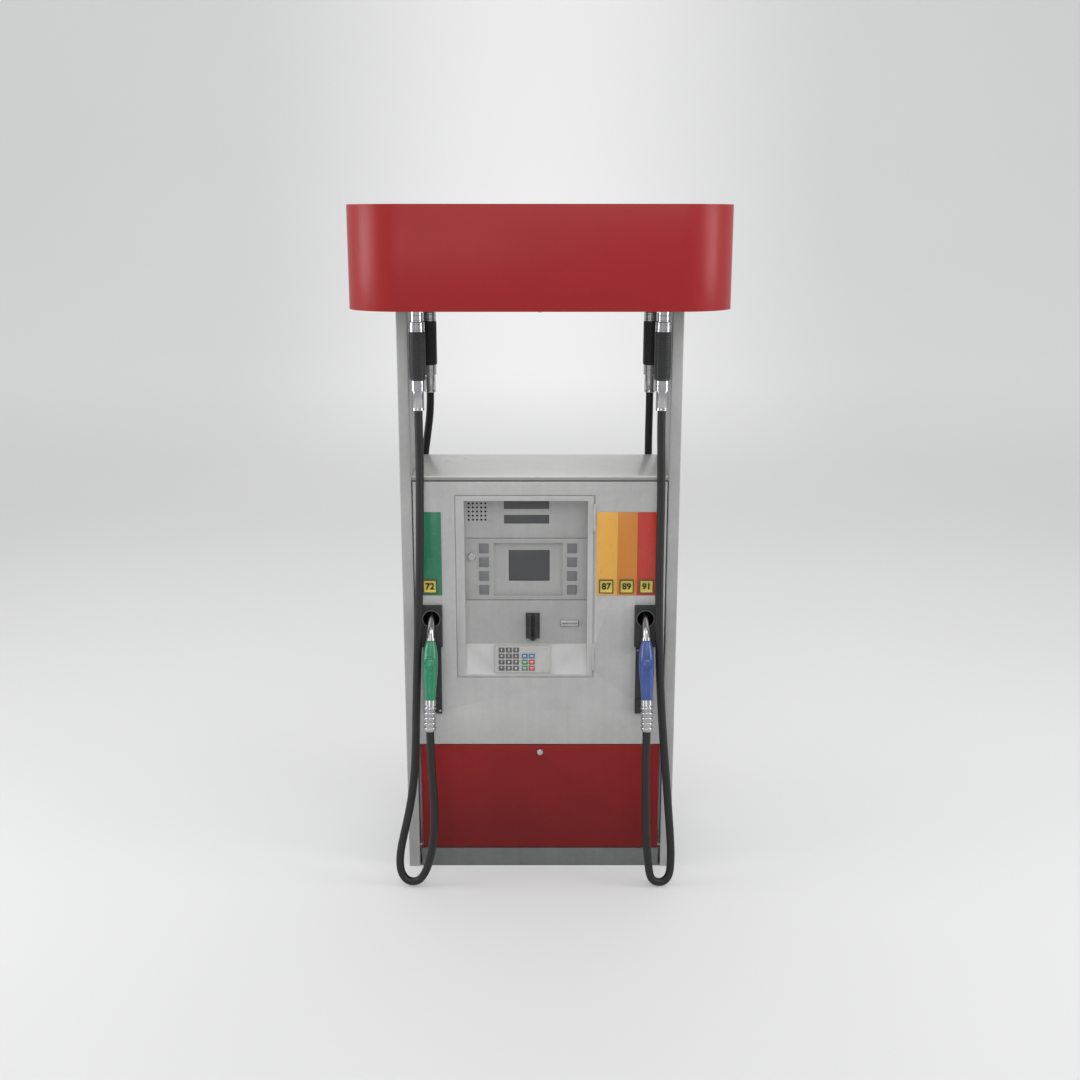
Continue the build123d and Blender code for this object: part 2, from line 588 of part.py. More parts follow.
def grade_button(label):
    """A square push cap over the strip's cut-out, with a stem through the panel and a retaining plate."""
    x0, x1 = BUTTON_SPANS[label]
    z0, z1 = BUTTON_Z
    front = FACE - BUTTON_TRAVEL - CLEAR
    cap = softened(block(x0, x1, front - BUTTON_PROUD + BUTTON_TRAVEL, front, z0, z1), front_edges, 1)
    stem = block(x0 + 4, x1 - 4, front - 1, FACE + SHEET + 2, z0 + 4, z1 - 4)
    plate = block(x0, x1, FACE + SHEET + CLEAR, FACE + SHEET + 2, z0, z1)
    return cap + stem + plate


# ---- nozzle boots --------------------------------------------------------------------------------
def spout_line(x):
    """The spout's straight run: where it leaves the bend, and its tip."""
    lean = math.radians(NOZZLE_LEAN)
    up = NOZZLE_BODY + SPOUT_NECK
    y = FRONT - NOZZLE_FOOT_OUT + up * math.sin(lean)
    z = NOZZLE_FOOT_Z + up * math.cos(lean)
    steep = math.radians(NOZZLE_LEAN + SPOUT_BEND)
    tip = (x, y + SPOUT_REACH * math.sin(steep), z + SPOUT_REACH * math.cos(steep))
    return (x, y, z), tip


def nozzle_boot(x):
    """A moulded boot: stepped front with a round port, a cup behind it, and a saddle under the spout."""
    low, step, high = BOOT_Z
    proud = FACE - BOOT_UPPER_PROUD
    upper = softened(block(x - BOOT_UPPER_HALF, x + BOOT_UPPER_HALF, proud, FACE, step, high), front_edges, 3)
    lower_face = FACE - BOOT_LOWER_PROUD
    lower = block(x - BOOT_LOWER_HALF, x + BOOT_LOWER_HALF, lower_face, FACE, low, step + 1)
    lower = softened(lower, front_edges, 2)
    lower -= block(x - BOOT_LOWER_HALF + SHEET, x + BOOT_LOWER_HALF - SHEET, lower_face + SHEET, FACE + 1,
                   low + SHEET, step - SHEET)
    reach = BOOT_LOWER_HALF - 3
    ledges = [block(x - reach, x + reach, lower_face - 4, lower_face + 1, z, z + 5)
              for z in (low + 24, low + 52)]
    reach = BOOT_UPPER_HALF - 3
    ledges.append(block(x - reach, x + reach, proud - 4, proud + 1, step + 12, step + 17))
    behind = FACE + SHEET + CLEAR
    cup = block(x - CUP_HALF, x + CUP_HALF, FACE - 1, behind + 1, CUP_Z[0], CUP_MOUTH_TOP)
    cup += block(x - CUP_HALF, x + CUP_HALF, behind, FACE + CUP_DEPTH, *CUP_Z)
    boot = upper + lower + cup
    for ledge in ledges:
        boot += ledge
    boot -= block(x - CUP_HALF + SHEET, x + CUP_HALF - SHEET, FACE, behind + SHEET,
                  CUP_Z[0] + SHEET, CUP_MOUTH_TOP - SHEET)
    boot -= block(x - CUP_HALF + SHEET, x + CUP_HALF - SHEET, behind + SHEET - 1, FACE + CUP_DEPTH - SHEET,
                  CUP_Z[0] + SHEET, CUP_Z[1] - SHEET)
    boot -= rod(PORT, (x, proud - 1, PORT_Z), (x, FACE + 1, PORT_Z))
    start, tip = spout_line(x)
    saddle = block(x - 9, x + 9, proud + 3, FACE + 26, CUP_Z[0], CUP_Z[0] + 50)
    steep = math.radians(NOZZLE_LEAN + SPOUT_BEND)
    ahead = (x, start[1] - 60 * math.sin(steep), start[2] - 60 * math.cos(steep))
    above = SPOUT / 2 + CLEAR
    clearance = rod(2 * above, ahead, tip)
    over = Plane(origin=Vector(*start), x_dir=(1, 0, 0), z_dir=(0, math.sin(steep), math.cos(steep)))
    clearance += over * Pos(0, -60, 0) * extrude(Rectangle(60, 120), 200)
    boot += saddle - clearance
    for at in boot_screw_places(x):
        boot -= rod(BOOT_SCREW, (at[0], lower_face - 1, at[1]), (at[0], FACE + 1, at[1]))
    return boot


# ---- nozzles -------------------------------------------------------------------------------------
def hung(shape, x):
    """Puts a nozzle piece, made upright with its foot at the origin, where the nozzle hangs."""
    return Pos(x, FRONT - NOZZLE_FOOT_OUT, NOZZLE_FOOT_Z) * Rot(-NOZZLE_LEAN, 0, 0) * shape


def nozzle_core():
    return turned([(15, 0), (16, 8), (16, 55), (18, 70), (18, 175), (14, 192), (14, NOZZLE_BODY)], (0, 0, 0))


def guard_radius():
    """From the nozzle's collar the hose guard curves until it hangs straight down."""
    return GUARD_CHAIN / math.radians(NOZZLE_LEAN)


def guard_place(share):
    """Place and lean of the guard's centreline, in the nozzle's own frame, at a share of its length."""
    radius = guard_radius()
    turn = math.radians(NOZZLE_LEAN) * share
    y = radius * (1 - math.cos(turn))
    z = -GUARD_COLLAR - radius * math.sin(turn)
    return (0, y, z), math.degrees(turn)


def nozzle_metal(x):
    """Valve body, bent spout, trigger guard, lever ears, swivel collar and beaded hose guard."""
    body = nozzle_core()
    body += rod(40, (0, 0, -GUARD_COLLAR), (0, 0, 1))
    radius = guard_radius()
    arc = Plane.YZ * CenterArc((radius, -GUARD_COLLAR), radius, 180, NOZZLE_LEAN)
    body += sweep(Plane(origin=(0, 0, -GUARD_COLLAR), z_dir=(0, 0, -1)) * Circle(17), path=arc)
    for index in range(GUARD_BEADS):
        at, turn = guard_place((index + 0.5) / GUARD_BEADS)
        bead = Pos(*at) * Rot(turn, 0, 0) * fillet(Cylinder(21, 13).edges(), 5)
        body += bead
    guard = [(11, 2), (30, 6), (60, 18), (64, 30), (64, 104), (42, 172), (30, 184), (10, 186)]
    hole = [(11, 8), (28, 12), (55, 23), (58, 32), (58, 102), (37, 168), (27, 178), (10, 180)]
    ring = slab([(0, y, z) for y, z in guard], Plane.XY, 12) - slab([(0, y, z) for y, z in hole], Plane.XY, 14)
    body += ring
    for side in (-1, 1):
        ear = [(10, 142), (10, 166), (30, 158), (30, 146)]
        body += Pos(side * 9.75, 0, 0) * slab([(0, y, z) for y, z in ear], Plane.XY, 3.5)
    body += rod(LEVER_PIN, (-11, *LEVER_PIVOT), (11, *LEVER_PIVOT))
    body += spout()
    return hung(body, x)


def spout():
    """A bent tube, thicker at the nut where it meets the body."""
    steep = math.radians(SPOUT_BEND)
    neck = NOZZLE_BODY + SPOUT_NECK
    tip = (0, SPOUT_REACH * math.sin(steep), neck + SPOUT_REACH * math.cos(steep))
    path = FilletPolyline((0, 0, NOZZLE_BODY - 4), (0, 0, neck), tip, radius=40)
    section = Plane(origin=(0, 0, NOZZLE_BODY - 4), z_dir=(0, 0, 1))
    tube = sweep(section * (Circle(SPOUT / 2) - Circle(SPOUT / 2 - SPOUT_WALL)), path=path)
    return tube + rod(30, (0, 0, NOZZLE_BODY - 8), (0, 0, NOZZLE_BODY + 4))


def nozzle_cover(x):
    """The coloured vinyl cover, open on the trigger's side, with a rib and the poppet cap in front."""
    across = [(wide / 2, z) for z, wide, _ in COVER_STATIONS]
    across += [(-half, z) for half, z in reversed(across)]
    seen_in_front = slab([(half, 0, z) for half, z in across], Plane.XY, 120)
    ahead = [(-2 - deep / 2, z) for z, _, deep in COVER_STATIONS]
    outline = [(COVER_BACK, ahead[0][1])] + ahead + [(COVER_BACK, ahead[-1][1])]
    seen_from_side = slab([(0, y, z) for y, z in outline], Plane.XY, 120)
    cover = seen_in_front & seen_from_side
    cover += rod(POPPET_CAP, (0, -34, POPPET_Z), (0, -10, POPPET_Z))
    cover -= nozzle_core()
    cover -= rod(31, (0, 0, NOZZLE_BODY - 10), (0, 0, NOZZLE_BODY + 6))
    biggest = max(cover.solids(), key=lambda solid: solid.volume)
    return hung(biggest, x)


def nozzle_lever(x):
    """The trigger: it hangs on its pin and reaches down between the body and the guard."""
    outline = [(20, 160), (31, 158), (33, 140), (53, 60), (54, 34), (48, 33), (46, 58), (24, 138)]
    lever = slab([(0, y, z) for y, z in outline], Plane.XY, 14)
    lever -= rod(LEVER_PIN + 2 * RUNNING, (-9, *LEVER_PIVOT), (9, *LEVER_PIVOT))
    return hung(lever, x)


# ---- hose fittings, pipes, meters ----------------------------------------------------------------
def fitting_places():
    y = FRONT - FITTING_OUT
    return [(-FITTING_X, y), (FITTING_X, y), (FITTING_X, -y), (-FITTING_X, -y)]


def hose_fittings():
    """Swivel, collars and ferrule of each hose, turned from one bar."""
    steps = []
    top = FITTING_TOP
    for bottom, diameter in FITTING_STEPS:
        steps += [(diameter / 2, top), (diameter / 2, bottom)]
        top = bottom
    return [turned(steps, (x, y, 0)) for x, y in fitting_places()]


def breakaway_sleeves():
    bottom, bore = FITTING_STEPS[2]
    top = FITTING_STEPS[1][0]
    sleeve = fillet(rod(SLEEVE, (0, 0, bottom), (0, 0, top)).edges(), 2)
    sleeve -= rod(bore, (0, 0, bottom - 1), (0, 0, top + 1))
    return [Pos(x, y, 0) * sleeve for x, y in fitting_places()]


def fuel_pipes():
    """For each hose a riser from the trench to its meter, and a pipe up inside the column to the canopy."""
    pipes = []
    for x, y in fitting_places():
        side, turn = math.copysign(1, x), math.copysign(1, y)
        inside, outside = side * METER_X, side * (COLUMN_IN + COLUMN_THICK / 2)
        depth = turn * PIPE_Y
        path = FilletPolyline((inside, depth, METER_Z[1]), (inside, depth, PIPE_CROSS_Z),
                              (outside, depth, PIPE_CROSS_Z), (outside, depth, PIPE_TOP_Z),
                              (x, depth, PIPE_TOP_Z), (x, y, PIPE_TOP_Z), (x, y, FITTING_TOP), radius=24)
        start = Plane(origin=(inside, depth, METER_Z[1]), z_dir=(0, 0, 1))
        pipes.append(sweep(start * Circle(PIPE / 2), path=path))
        riser = rod(34, (inside, depth, BASE_PLATE + 4), (inside, depth, METER_Z[0]))
        riser += rod(62, (inside, depth, 60), (inside, depth, 130))
        pipes.append(riser)
    return pipes


def flow_meters():
    """A positive displacement meter for each hose, with its pulser on top of one flank."""
    meters = []
    low, high = METER_Z
    for side in (-1, 1):
        for turn in (-1, 1):
            x, y = side * METER_X, turn * PIPE_Y
            steps = [(30, low), (30, low + 12), (58, low + 12), (58, high - 22), (30, high - 22), (30, high)]
            meter = turned(steps, (x, y, 0))
            inner = x - side * 75
            x0, x1 = sorted((inner, x - side * 20))
            meters.append(meter + block(x0, x1, y - 25, y + 25, low + 30, low + 85))
    return meters


def electronics_box():
    """The controller's sheet metal case on four feet, with two cable glands."""
    case = block(-160, 160, -115, 115, 640, 1250) - block(-157, 157, -112, 112, 643, 1247)
    for x in (-150, 150):
        for y in (-105, 105):
            case += block(x - 10, x + 10, y - 10, y + 10, SHELF_Z + SHEET, 641)
    for x in (-60, 60):
        case += rod(24, (x, 0, 622), (x, 0, 641))
    return case


# ---- fasteners -----------------------------------------------------------------------------------


def soffit_screw_places():
    edge_x = CANOPY_WIDTH / 2 - FASCIA_WALL - FASCIA_FLANGE / 2
    edge_y = CANOPY_DEPTH / 2 - FASCIA_WALL - FASCIA_FLANGE / 2
    places = [(x, side * edge_y) for x in (-380, 0, 380) for side in (-1, 1)]
    return places + [(side * edge_x, 0) for side in (-1, 1)]


def boot_screw_places(x):
    return [(x - 24, BOOT_Z[1] - 14), (x + 24, BOOT_Z[0] + 12)]


def fasteners():
    """Button-head screws: eight hold the soffit to the fascia, and two hold each boot to its panel."""
    screws = []
    for x, y in soffit_screw_places():
        steps = [(SOFFIT_SCREW, CANOPY_BOTTOM - 3), (SOFFIT_SCREW, CANOPY_BOTTOM),
                 (SOFFIT_SCREW / 2, CANOPY_BOTTOM), (SOFFIT_SCREW / 2, CANOPY_BOTTOM + 3 * SHEET)]
        screws.append(turned(steps, (x, y, 0)))
    boot_screws = []
    face = FACE - BOOT_LOWER_PROUD
    for x in NOZZLE_X.values():
        for at in boot_screw_places(x):
            head = rod(2 * BOOT_SCREW, (at[0], face - 2.5, at[1]), (at[0], face, at[1]))
            shank = rod(BOOT_SCREW, (at[0], face - 1, at[1]), (at[0], FACE + SHEET + 4, at[1]))
            boot_screws.append(head + shank)
    return screws + both_sides(boot_screws)


# ---- hoses ---------------------------------------------------------------------------------------
# Each route runs from the ferrule under the canopy, down in front of the column, round the loop near
# the ground and up to the nozzle's hose guard.
HOSE_ROUTES = {
    "hose_front_left": [
        (-408, -245, 1685), (-408, -245, 1612), (-407, -248, 1510), (-409, -257, 1380), (-411, -269, 1230),
        (-415, -281, 1080), (-421, -293, 930), (-427, -304, 780), (-432, -314, 640), (-436, -322, 510),
        (-443, -331, 395), (-459, -340, 290), (-481, -349, 195), (-497, -357, 120), (-498, -364, 62),
        (-482, -370, 28), (-456, -375, 17), (-429, -379, 25), (-407, -382, 55), (-389, -384, 108),
        (-375, -385.4, 180), (-369, -385.8, 270), (-371, -385, 365), (-376, -383, 455), (-379, -380.3, 533),
        (-379, -380.3, 593.6)],
    "hose_front_right": [
        (408, -245, 1685), (408, -245, 1612), (411, -249, 1510), (412, -257, 1380), (411, -268, 1230),
        (410, -280, 1090), (411, -292, 945), (415, -303, 805), (422, -313, 675), (431, -322, 550),
        (441, -331, 435), (450, -340, 325), (458, -348, 230), (464, -356, 150), (465, -362, 90),
        (461, -367, 40), (441, -371.5, 16), (411, -376, 16), (390, -379.5, 39), (383, -382, 94),
        (376, -384, 165), (372, -385.4, 245), (370, -385.6, 325), (368, -385, 405), (367, -383, 478),
        (368, -380.3, 538),
        (368, -380.3, 593.6)],
    "hose_rear_right": [
        (-408, 245, 1685), (-408, 245, 1625), (-420, 248, 1535), (-434, 253, 1445), (-446, 262, 1325),
        (-453, 274, 1180), (-458, 287, 1030), (-463, 299, 885), (-469, 310, 745), (-477, 320, 610),
        (-489, 330, 485), (-505, 340, 375), (-520, 349, 280), (-526, 357, 195), (-518, 364, 120),
        (-498, 370, 64), (-467, 375, 30), (-433, 379, 20), (-403, 382, 40), (-384, 384, 88),
        (-374, 385.3, 160), (-369, 385.8, 250), (-366, 385, 350), (-366, 383, 445), (-368, 380.3, 533),
        (-368, 380.3, 593.6)],
    "hose_rear_left": [
        (408, 245, 1685), (408, 245, 1612), (407, 248, 1510), (409, 257, 1380), (412, 268, 1230),
        (416, 280, 1085), (421, 292, 940), (427, 303, 795), (433, 313, 660), (439, 322, 530),
        (447, 331, 410), (457, 340, 305), (468, 349, 215), (474, 357, 145), (473, 363, 87),
        (465, 368, 40), (442, 373, 17), (410, 377, 17), (389, 380, 41), (384, 382.5, 95),
        (378, 384.2, 160), (374, 385.3, 235), (372, 385.6, 320), (374, 384.8, 405), (377, 382.8, 482),
        (379, 380.3, 540),
        (379, 380.3, 593.6)],
}


def corner_radii(points):
    """Each corner's arc takes 0.45 of its shorter run."""
    radii = []
    for before, here, after in zip(points, points[1:], points[2:]):
        back, ahead = Vector(*here) - Vector(*before), Vector(*after) - Vector(*here)
        half_turn = math.radians(back.get_angle(ahead)) / 2
        radii.append(0.45 * min(back.length, ahead.length) / math.tan(half_turn))
    return radii


def hose(name):
    """One hose as straight runs and tangent arcs, with its tightest bend and length printed."""
    points = HOSE_ROUTES[name]
    radii = corner_radii(points)
    path = FilletPolyline(*points, radius=radii)
    down = Vector(*points[1]) - Vector(*points[0])
    start = Plane(origin=points[0], z_dir=down.normalized())
    tube = sweep(start * Circle(HOSE / 2), path=path)
    expected = math.pi * (HOSE / 2) ** 2 * path.length
    print(f"{name}: length {path.length:.0f} mm, tightest bend {min(radii):.0f} mm,"
          f" volume over section times length {tube.volume / expected:.5f}")
    print("   radii", [round(radius) for radius in radii])
    return tube


# ---- write every piece ---------------------------------------------------------------------------
os.makedirs("parts", exist_ok=True)

save("base_plinth", base_plinth())
save("left_column", column(-1))
save("right_column", column(1))
save("inner_frame", inner_frame())
save("canopy_fascia", canopy_fascia())
save("canopy_soffit", canopy_soffit())
save("canopy_lid", canopy_lid())
save("cabinet_top_cover", cabinet_top_cover())
save("electronics_box", electronics_box())
save("flow_meters", flow_meters())
save("fuel_pipes", fuel_pipes())
save("hose_fittings", hose_fittings())
save("breakaway_couplings", breakaway_sleeves())
save("nozzle_boots", both_sides([nozzle_boot(x) for x in NOZZLE_X.values()]))
save("grade_strips", both_sides(grade_strips()))
save("fasteners", fasteners())

for hose_name in HOSE_ROUTES:
    save(hose_name, hose(hose_name))

for side in ("front", "rear"):
    save(f"{side}_panel", turn_round(cabinet_panel(), side))
    save(f"{side}_bezel_door", turn_round(bezel_door(), side))
    save(f"{side}_displays", [turn_round(glass, side) for glass in displays()])
    save(f"{side}_card_reader", [turn_round(piece, side) for piece in card_reader()])
    save(f"{side}_keypad_plate", turn_round(keypad_plate(), side))
    save(f"{side}_keypad_keys", [turn_round(key, side) for key in keypad_keys()])
    save(f"{side}_soft_keys", [turn_round(key, side) for key in soft_keys()])
    save(f"{side}_bezel_lock", turn_round(bezel_lock(), side))
    save(f"{side}_lower_door", turn_round(lower_door(), side))
    save(f"{side}_lower_lock", turn_round(lower_lock(), side))
    for label in BUTTON_SPANS:
        save(f"{side}_button_{label}", turn_round(grade_button(label), side))
    for hand, nozzle_x in NOZZLE_X.items():
        save(f"{side}_{hand}_nozzle_body", turn_round(nozzle_metal(nozzle_x), side))
        save(f"{side}_{hand}_nozzle_cover", turn_round(nozzle_cover(nozzle_x), side))
        save(f"{side}_{hand}_nozzle_lever", turn_round(nozzle_lever(nozzle_x), side))
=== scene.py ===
# %% [markdown]
# # A two-sided fuel dispenser
# A fuel dispenser is a sheet metal cabinet between two columns, with a canopy that carries the hoses high
# above the ground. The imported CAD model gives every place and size. This notebook gives it its looks: broken
# edges, paint, chrome, rubber, printed figures, and four hoses that hang as hoses do.

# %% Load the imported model
import json
import math
import bpy
from mathutils import Matrix, Vector


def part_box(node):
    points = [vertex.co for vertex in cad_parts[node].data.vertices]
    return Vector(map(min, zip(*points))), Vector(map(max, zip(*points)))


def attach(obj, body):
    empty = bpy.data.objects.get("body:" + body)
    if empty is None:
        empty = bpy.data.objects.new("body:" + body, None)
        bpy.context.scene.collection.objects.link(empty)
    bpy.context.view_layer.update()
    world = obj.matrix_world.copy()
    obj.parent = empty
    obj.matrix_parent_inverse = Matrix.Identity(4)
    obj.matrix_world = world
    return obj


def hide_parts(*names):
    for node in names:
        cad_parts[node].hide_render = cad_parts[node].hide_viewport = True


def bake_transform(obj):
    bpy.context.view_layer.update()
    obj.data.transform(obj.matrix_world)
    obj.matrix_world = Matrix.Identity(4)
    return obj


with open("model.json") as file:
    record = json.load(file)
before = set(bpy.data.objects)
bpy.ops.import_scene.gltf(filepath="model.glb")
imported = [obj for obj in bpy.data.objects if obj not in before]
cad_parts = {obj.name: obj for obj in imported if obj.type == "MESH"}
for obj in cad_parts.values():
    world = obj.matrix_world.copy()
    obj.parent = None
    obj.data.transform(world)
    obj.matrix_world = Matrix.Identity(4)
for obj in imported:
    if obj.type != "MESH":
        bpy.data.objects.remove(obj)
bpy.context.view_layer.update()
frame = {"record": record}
MM = 0.001
BODY_OF = {node: body for body, nodes in frame["record"]["behaviour"]["bodies"].items() for node in nodes}

# %% [markdown]
# ## The camera
# The dispenser is seen from a little above eye height, straight from the front, with a moderate lens. The
# camera stands on the middle line and looks slightly down, so the upright edges draw together a little
# towards the ground.

# %% Camera
CAMERA_PLACE = (0.0, -4.62, 2.30)
LOOK_DOWN = 13.65
LENS = 43.67
SENSOR = 36.0
camera_data = bpy.data.cameras.new("studio_camera")
camera_data.lens = LENS
camera_data.sensor_width = SENSOR
camera = bpy.data.objects.new("studio_camera", camera_data)
camera.location = CAMERA_PLACE
camera.rotation_euler = (math.radians(90 - LOOK_DOWN), 0, 0)
bpy.context.collection.objects.link(camera)
bpy.context.scene.camera = camera
bpy.context.scene.view_settings.view_transform = "Standard"
print("camera set")

# %% [markdown]
# ## Shader maths as Python
# A material is easier to read as a formula. `Tone` wraps one output socket and turns + - * into Math nodes,
# `Graph.node` is the one way that any other node is made, and a `Finish` is a whole material.

# %% Tones and finishes
class Tone:
    """A number that varies over a surface, usable in Python expressions."""

    def __init__(self, finish, socket):
        self.finish, self.socket = finish, socket

    def _with(self, operation, first, second):
        node = self.finish.node("ShaderNodeMath", {"operation": operation}, {0: first, 1: second})
        return Tone(self.finish, node.outputs[0])

    def __add__(self, other):
        return self._with("ADD", self, other)

    def __sub__(self, other):
        return self._with("SUBTRACT", self, other)

    def __rsub__(self, other):
        return self._with("SUBTRACT", other, self)

    def __mul__(self, other):
        return self._with("MULTIPLY", self, other)

    __radd__, __rmul__ = __add__, __mul__

    def above(self, limit):
        return self._with("GREATER_THAN", self, limit)

    def clipped(self):
        node = self.finish.node("ShaderNodeClamp", {}, {"Value": self})
        return Tone(self.finish, node.outputs[0])


class Graph:
    """A node tree, with one way to add a node and one way to fill its inputs."""

    def __init__(self, tree):
        self.tree = tree

    def put(self, node, inputs):
        for key, value in inputs.items():
            name = key.replace("_", " ") if isinstance(key, str) else key
            socket = value.socket if isinstance(value, Tone) else value
            if isinstance(socket, bpy.types.NodeSocket):
                self.tree.links.new(socket, node.inputs[name])
            else:
                node.inputs[name].default_value = socket

    def node(self, kind, settings=None, inputs=None):
        node = self.tree.nodes.new(kind)
        for key, value in (settings or {}).items():
            setattr(node, key, value)
        self.put(node, inputs or {})
        return node


class Finish(Graph):
    """One procedural material."""

    def __init__(self, name, **fixed):
        self.material = bpy.data.materials.new(name)
        self.material.use_nodes = True
        super().__init__(self.material.node_tree)
        self.shader = self.tree.nodes["Principled BSDF"]
        self.put(self.shader, fixed)
        self.coords = self.node("ShaderNodeTexCoord").outputs["Object"]

    def stretched(self, scale):
        return self.node("ShaderNodeMapping", {}, {"Vector": self.coords, "Scale": scale}).outputs[0]

    def noise(self, scale, detail=2.0, roughness=0.5, stretch=(1, 1, 1)):
        inputs = {"Vector": self.stretched(stretch), "Scale": scale, "Detail": detail, "Roughness": roughness}
        return Tone(self, self.node("ShaderNodeTexNoise", {}, inputs).outputs["Fac"])

    def across(self, axis):
        split = self.node("ShaderNodeSeparateXYZ", {}, {0: self.coords})
        return Tone(self, split.outputs[axis])

    def between(self, share, first, second):
        """From the first colour to the second by the share; either end may be a socket."""
        first, second = ((*end, 1) if isinstance(end, tuple) else end for end in (first, second))
        node = self.node("ShaderNodeMix", {"data_type": "RGBA"}, {0: share, 6: first, 7: second})
        return node.outputs[2]

    def ramp(self, value, stops):
        """A soft curve from positions to levels."""
        node = self.node("ShaderNodeValToRGB")
        node.color_ramp.interpolation = "EASE"
        while len(node.color_ramp.elements) < len(stops):
            node.color_ramp.elements.new(0.5)
        for element, (at, level) in zip(node.color_ramp.elements, stops):
            element.position = at
            element.color = (level, level, level, 1)
        self.put(node, {"Fac": value})
        return Tone(self, node.outputs[0])

    def bump(self, height, distance, strength=1.0):
        inputs = {"Height": height, "Distance": distance, "Strength": strength}
        normal = self.node("ShaderNodeBump", {}, inputs).outputs[0]
        self.tree.links.new(normal, self.shader.inputs["Normal"])

    def surface(self, **inputs):
        self.put(self.shader, inputs)
        return self


def srgb(red, green, blue):
    """A colour as a paint chart gives it, 0 to 255, turned into the linear values that shaders use."""
    def linear(value):
        value /= 255
        return value / 12.92 if value <= 0.04045 else ((value + 0.055) / 1.055) ** 2.4
    return tuple(linear(value) for value in (red, green, blue))


# %% [markdown]
# ## Rubber hose first
# Each hose is a 28 mm rubber cover over a 19 mm bore. It leaves its ferrule straight down, swings out in front
# of the column, turns in a tight loop just above the ground and climbs to the nozzle. The route is a short
# list of points, and a smooth spline follows them.

# %% Hose routes
HOSE_RADIUS = 0.014
HOSE_ROUTES = {
    "front_left": [
        (-0.408, -0.245, 1.685), (-0.408, -0.245, 1.612), (-0.407, -0.248, 1.510), (-0.409, -0.257, 1.380),
        (-0.411, -0.269, 1.230), (-0.415, -0.281, 1.080), (-0.421, -0.293, 0.930), (-0.427, -0.304, 0.780),
        (-0.432, -0.314, 0.640), (-0.436, -0.322, 0.510), (-0.443, -0.331, 0.395), (-0.459, -0.340, 0.290),
        (-0.481, -0.349, 0.195), (-0.497, -0.357, 0.120), (-0.498, -0.364, 0.062), (-0.482, -0.370, 0.028),
        (-0.456, -0.375, 0.017), (-0.429, -0.379, 0.025), (-0.407, -0.382, 0.055), (-0.389, -0.384, 0.108),
        (-0.375, -0.3854, 0.180), (-0.369, -0.3858, 0.270), (-0.371, -0.385, 0.365), (-0.376, -0.383, 0.455),
        (-0.379, -0.3803, 0.533), (-0.379, -0.3803, 0.5936)],
    "front_right": [
        (0.408, -0.245, 1.685), (0.408, -0.245, 1.612), (0.411, -0.249, 1.510), (0.412, -0.257, 1.380),
        (0.411, -0.268, 1.230), (0.410, -0.280, 1.090), (0.411, -0.292, 0.945), (0.415, -0.303, 0.805),
        (0.422, -0.313, 0.675), (0.431, -0.322, 0.550), (0.441, -0.331, 0.435), (0.450, -0.340, 0.325),
        (0.458, -0.348, 0.230), (0.464, -0.356, 0.150), (0.465, -0.362, 0.090), (0.461, -0.367, 0.040),
        (0.441, -0.3715, 0.016), (0.411, -0.376, 0.016), (0.390, -0.3795, 0.039), (0.383, -0.382, 0.094),
        (0.376, -0.384, 0.165), (0.372, -0.3854, 0.245), (0.370, -0.3856, 0.325), (0.368, -0.385, 0.405),
        (0.367, -0.383, 0.478), (0.368, -0.3803, 0.538), (0.368, -0.3803, 0.5936)],
    "rear_right": [
        (-0.408, 0.245, 1.685), (-0.408, 0.245, 1.625), (-0.420, 0.248, 1.535), (-0.434, 0.253, 1.445),
        (-0.446, 0.262, 1.325), (-0.453, 0.274, 1.180), (-0.458, 0.287, 1.030), (-0.463, 0.299, 0.885),
        (-0.469, 0.310, 0.745), (-0.477, 0.320, 0.610), (-0.489, 0.330, 0.485), (-0.505, 0.340, 0.375),
        (-0.520, 0.349, 0.280), (-0.526, 0.357, 0.195), (-0.518, 0.364, 0.120), (-0.498, 0.370, 0.064),
        (-0.467, 0.375, 0.030), (-0.433, 0.379, 0.020), (-0.403, 0.382, 0.040), (-0.384, 0.384, 0.088),
        (-0.374, 0.3853, 0.160), (-0.369, 0.3858, 0.250), (-0.366, 0.385, 0.350), (-0.366, 0.383, 0.445),
        (-0.368, 0.3803, 0.533), (-0.368, 0.3803, 0.5936)],
    "rear_left": [
        (0.408, 0.245, 1.685), (0.408, 0.245, 1.612), (0.407, 0.248, 1.510), (0.409, 0.257, 1.380),
        (0.412, 0.268, 1.230), (0.416, 0.280, 1.085), (0.421, 0.292, 0.940), (0.427, 0.303, 0.795),
        (0.433, 0.313, 0.660), (0.439, 0.322, 0.530), (0.447, 0.331, 0.410), (0.457, 0.340, 0.305),
        (0.468, 0.349, 0.215), (0.474, 0.357, 0.145), (0.473, 0.363, 0.087), (0.465, 0.368, 0.040),
        (0.442, 0.373, 0.017), (0.410, 0.377, 0.017), (0.389, 0.380, 0.041), (0.384, 0.3825, 0.095),
        (0.378, 0.3842, 0.160), (0.374, 0.3853, 0.235), (0.372, 0.3856, 0.320), (0.374, 0.3848, 0.405),
        (0.377, 0.3828, 0.482), (0.379, 0.3803, 0.540), (0.379, 0.3803, 0.5936)],
}


# %% [markdown]
# The rubber has a dull, slightly dusty skin with long faint streaks from the extrusion, and its roughness
# varies with the dust.

# %% Hose rubber
def hose_rubber():
    finish = Finish("hose_rubber", Specular_IOR_Level=0.45)
    dust = finish.noise(9, 4, 0.6)
    streak = finish.noise(60, 2, 0.5, (3, 3, 0.12))
    colour = finish.between(dust * 0.7 + streak * 0.3, srgb(9, 10, 9), srgb(26, 27, 25))
    finish.bump(streak * 0.6 + finish.noise(900, 2) * 0.4, 0.0004, 0.5)
    return finish.surface(Base_Color=colour, Roughness=0.42 + dust * 0.2)


HOSE_FINISH = hose_rubber()


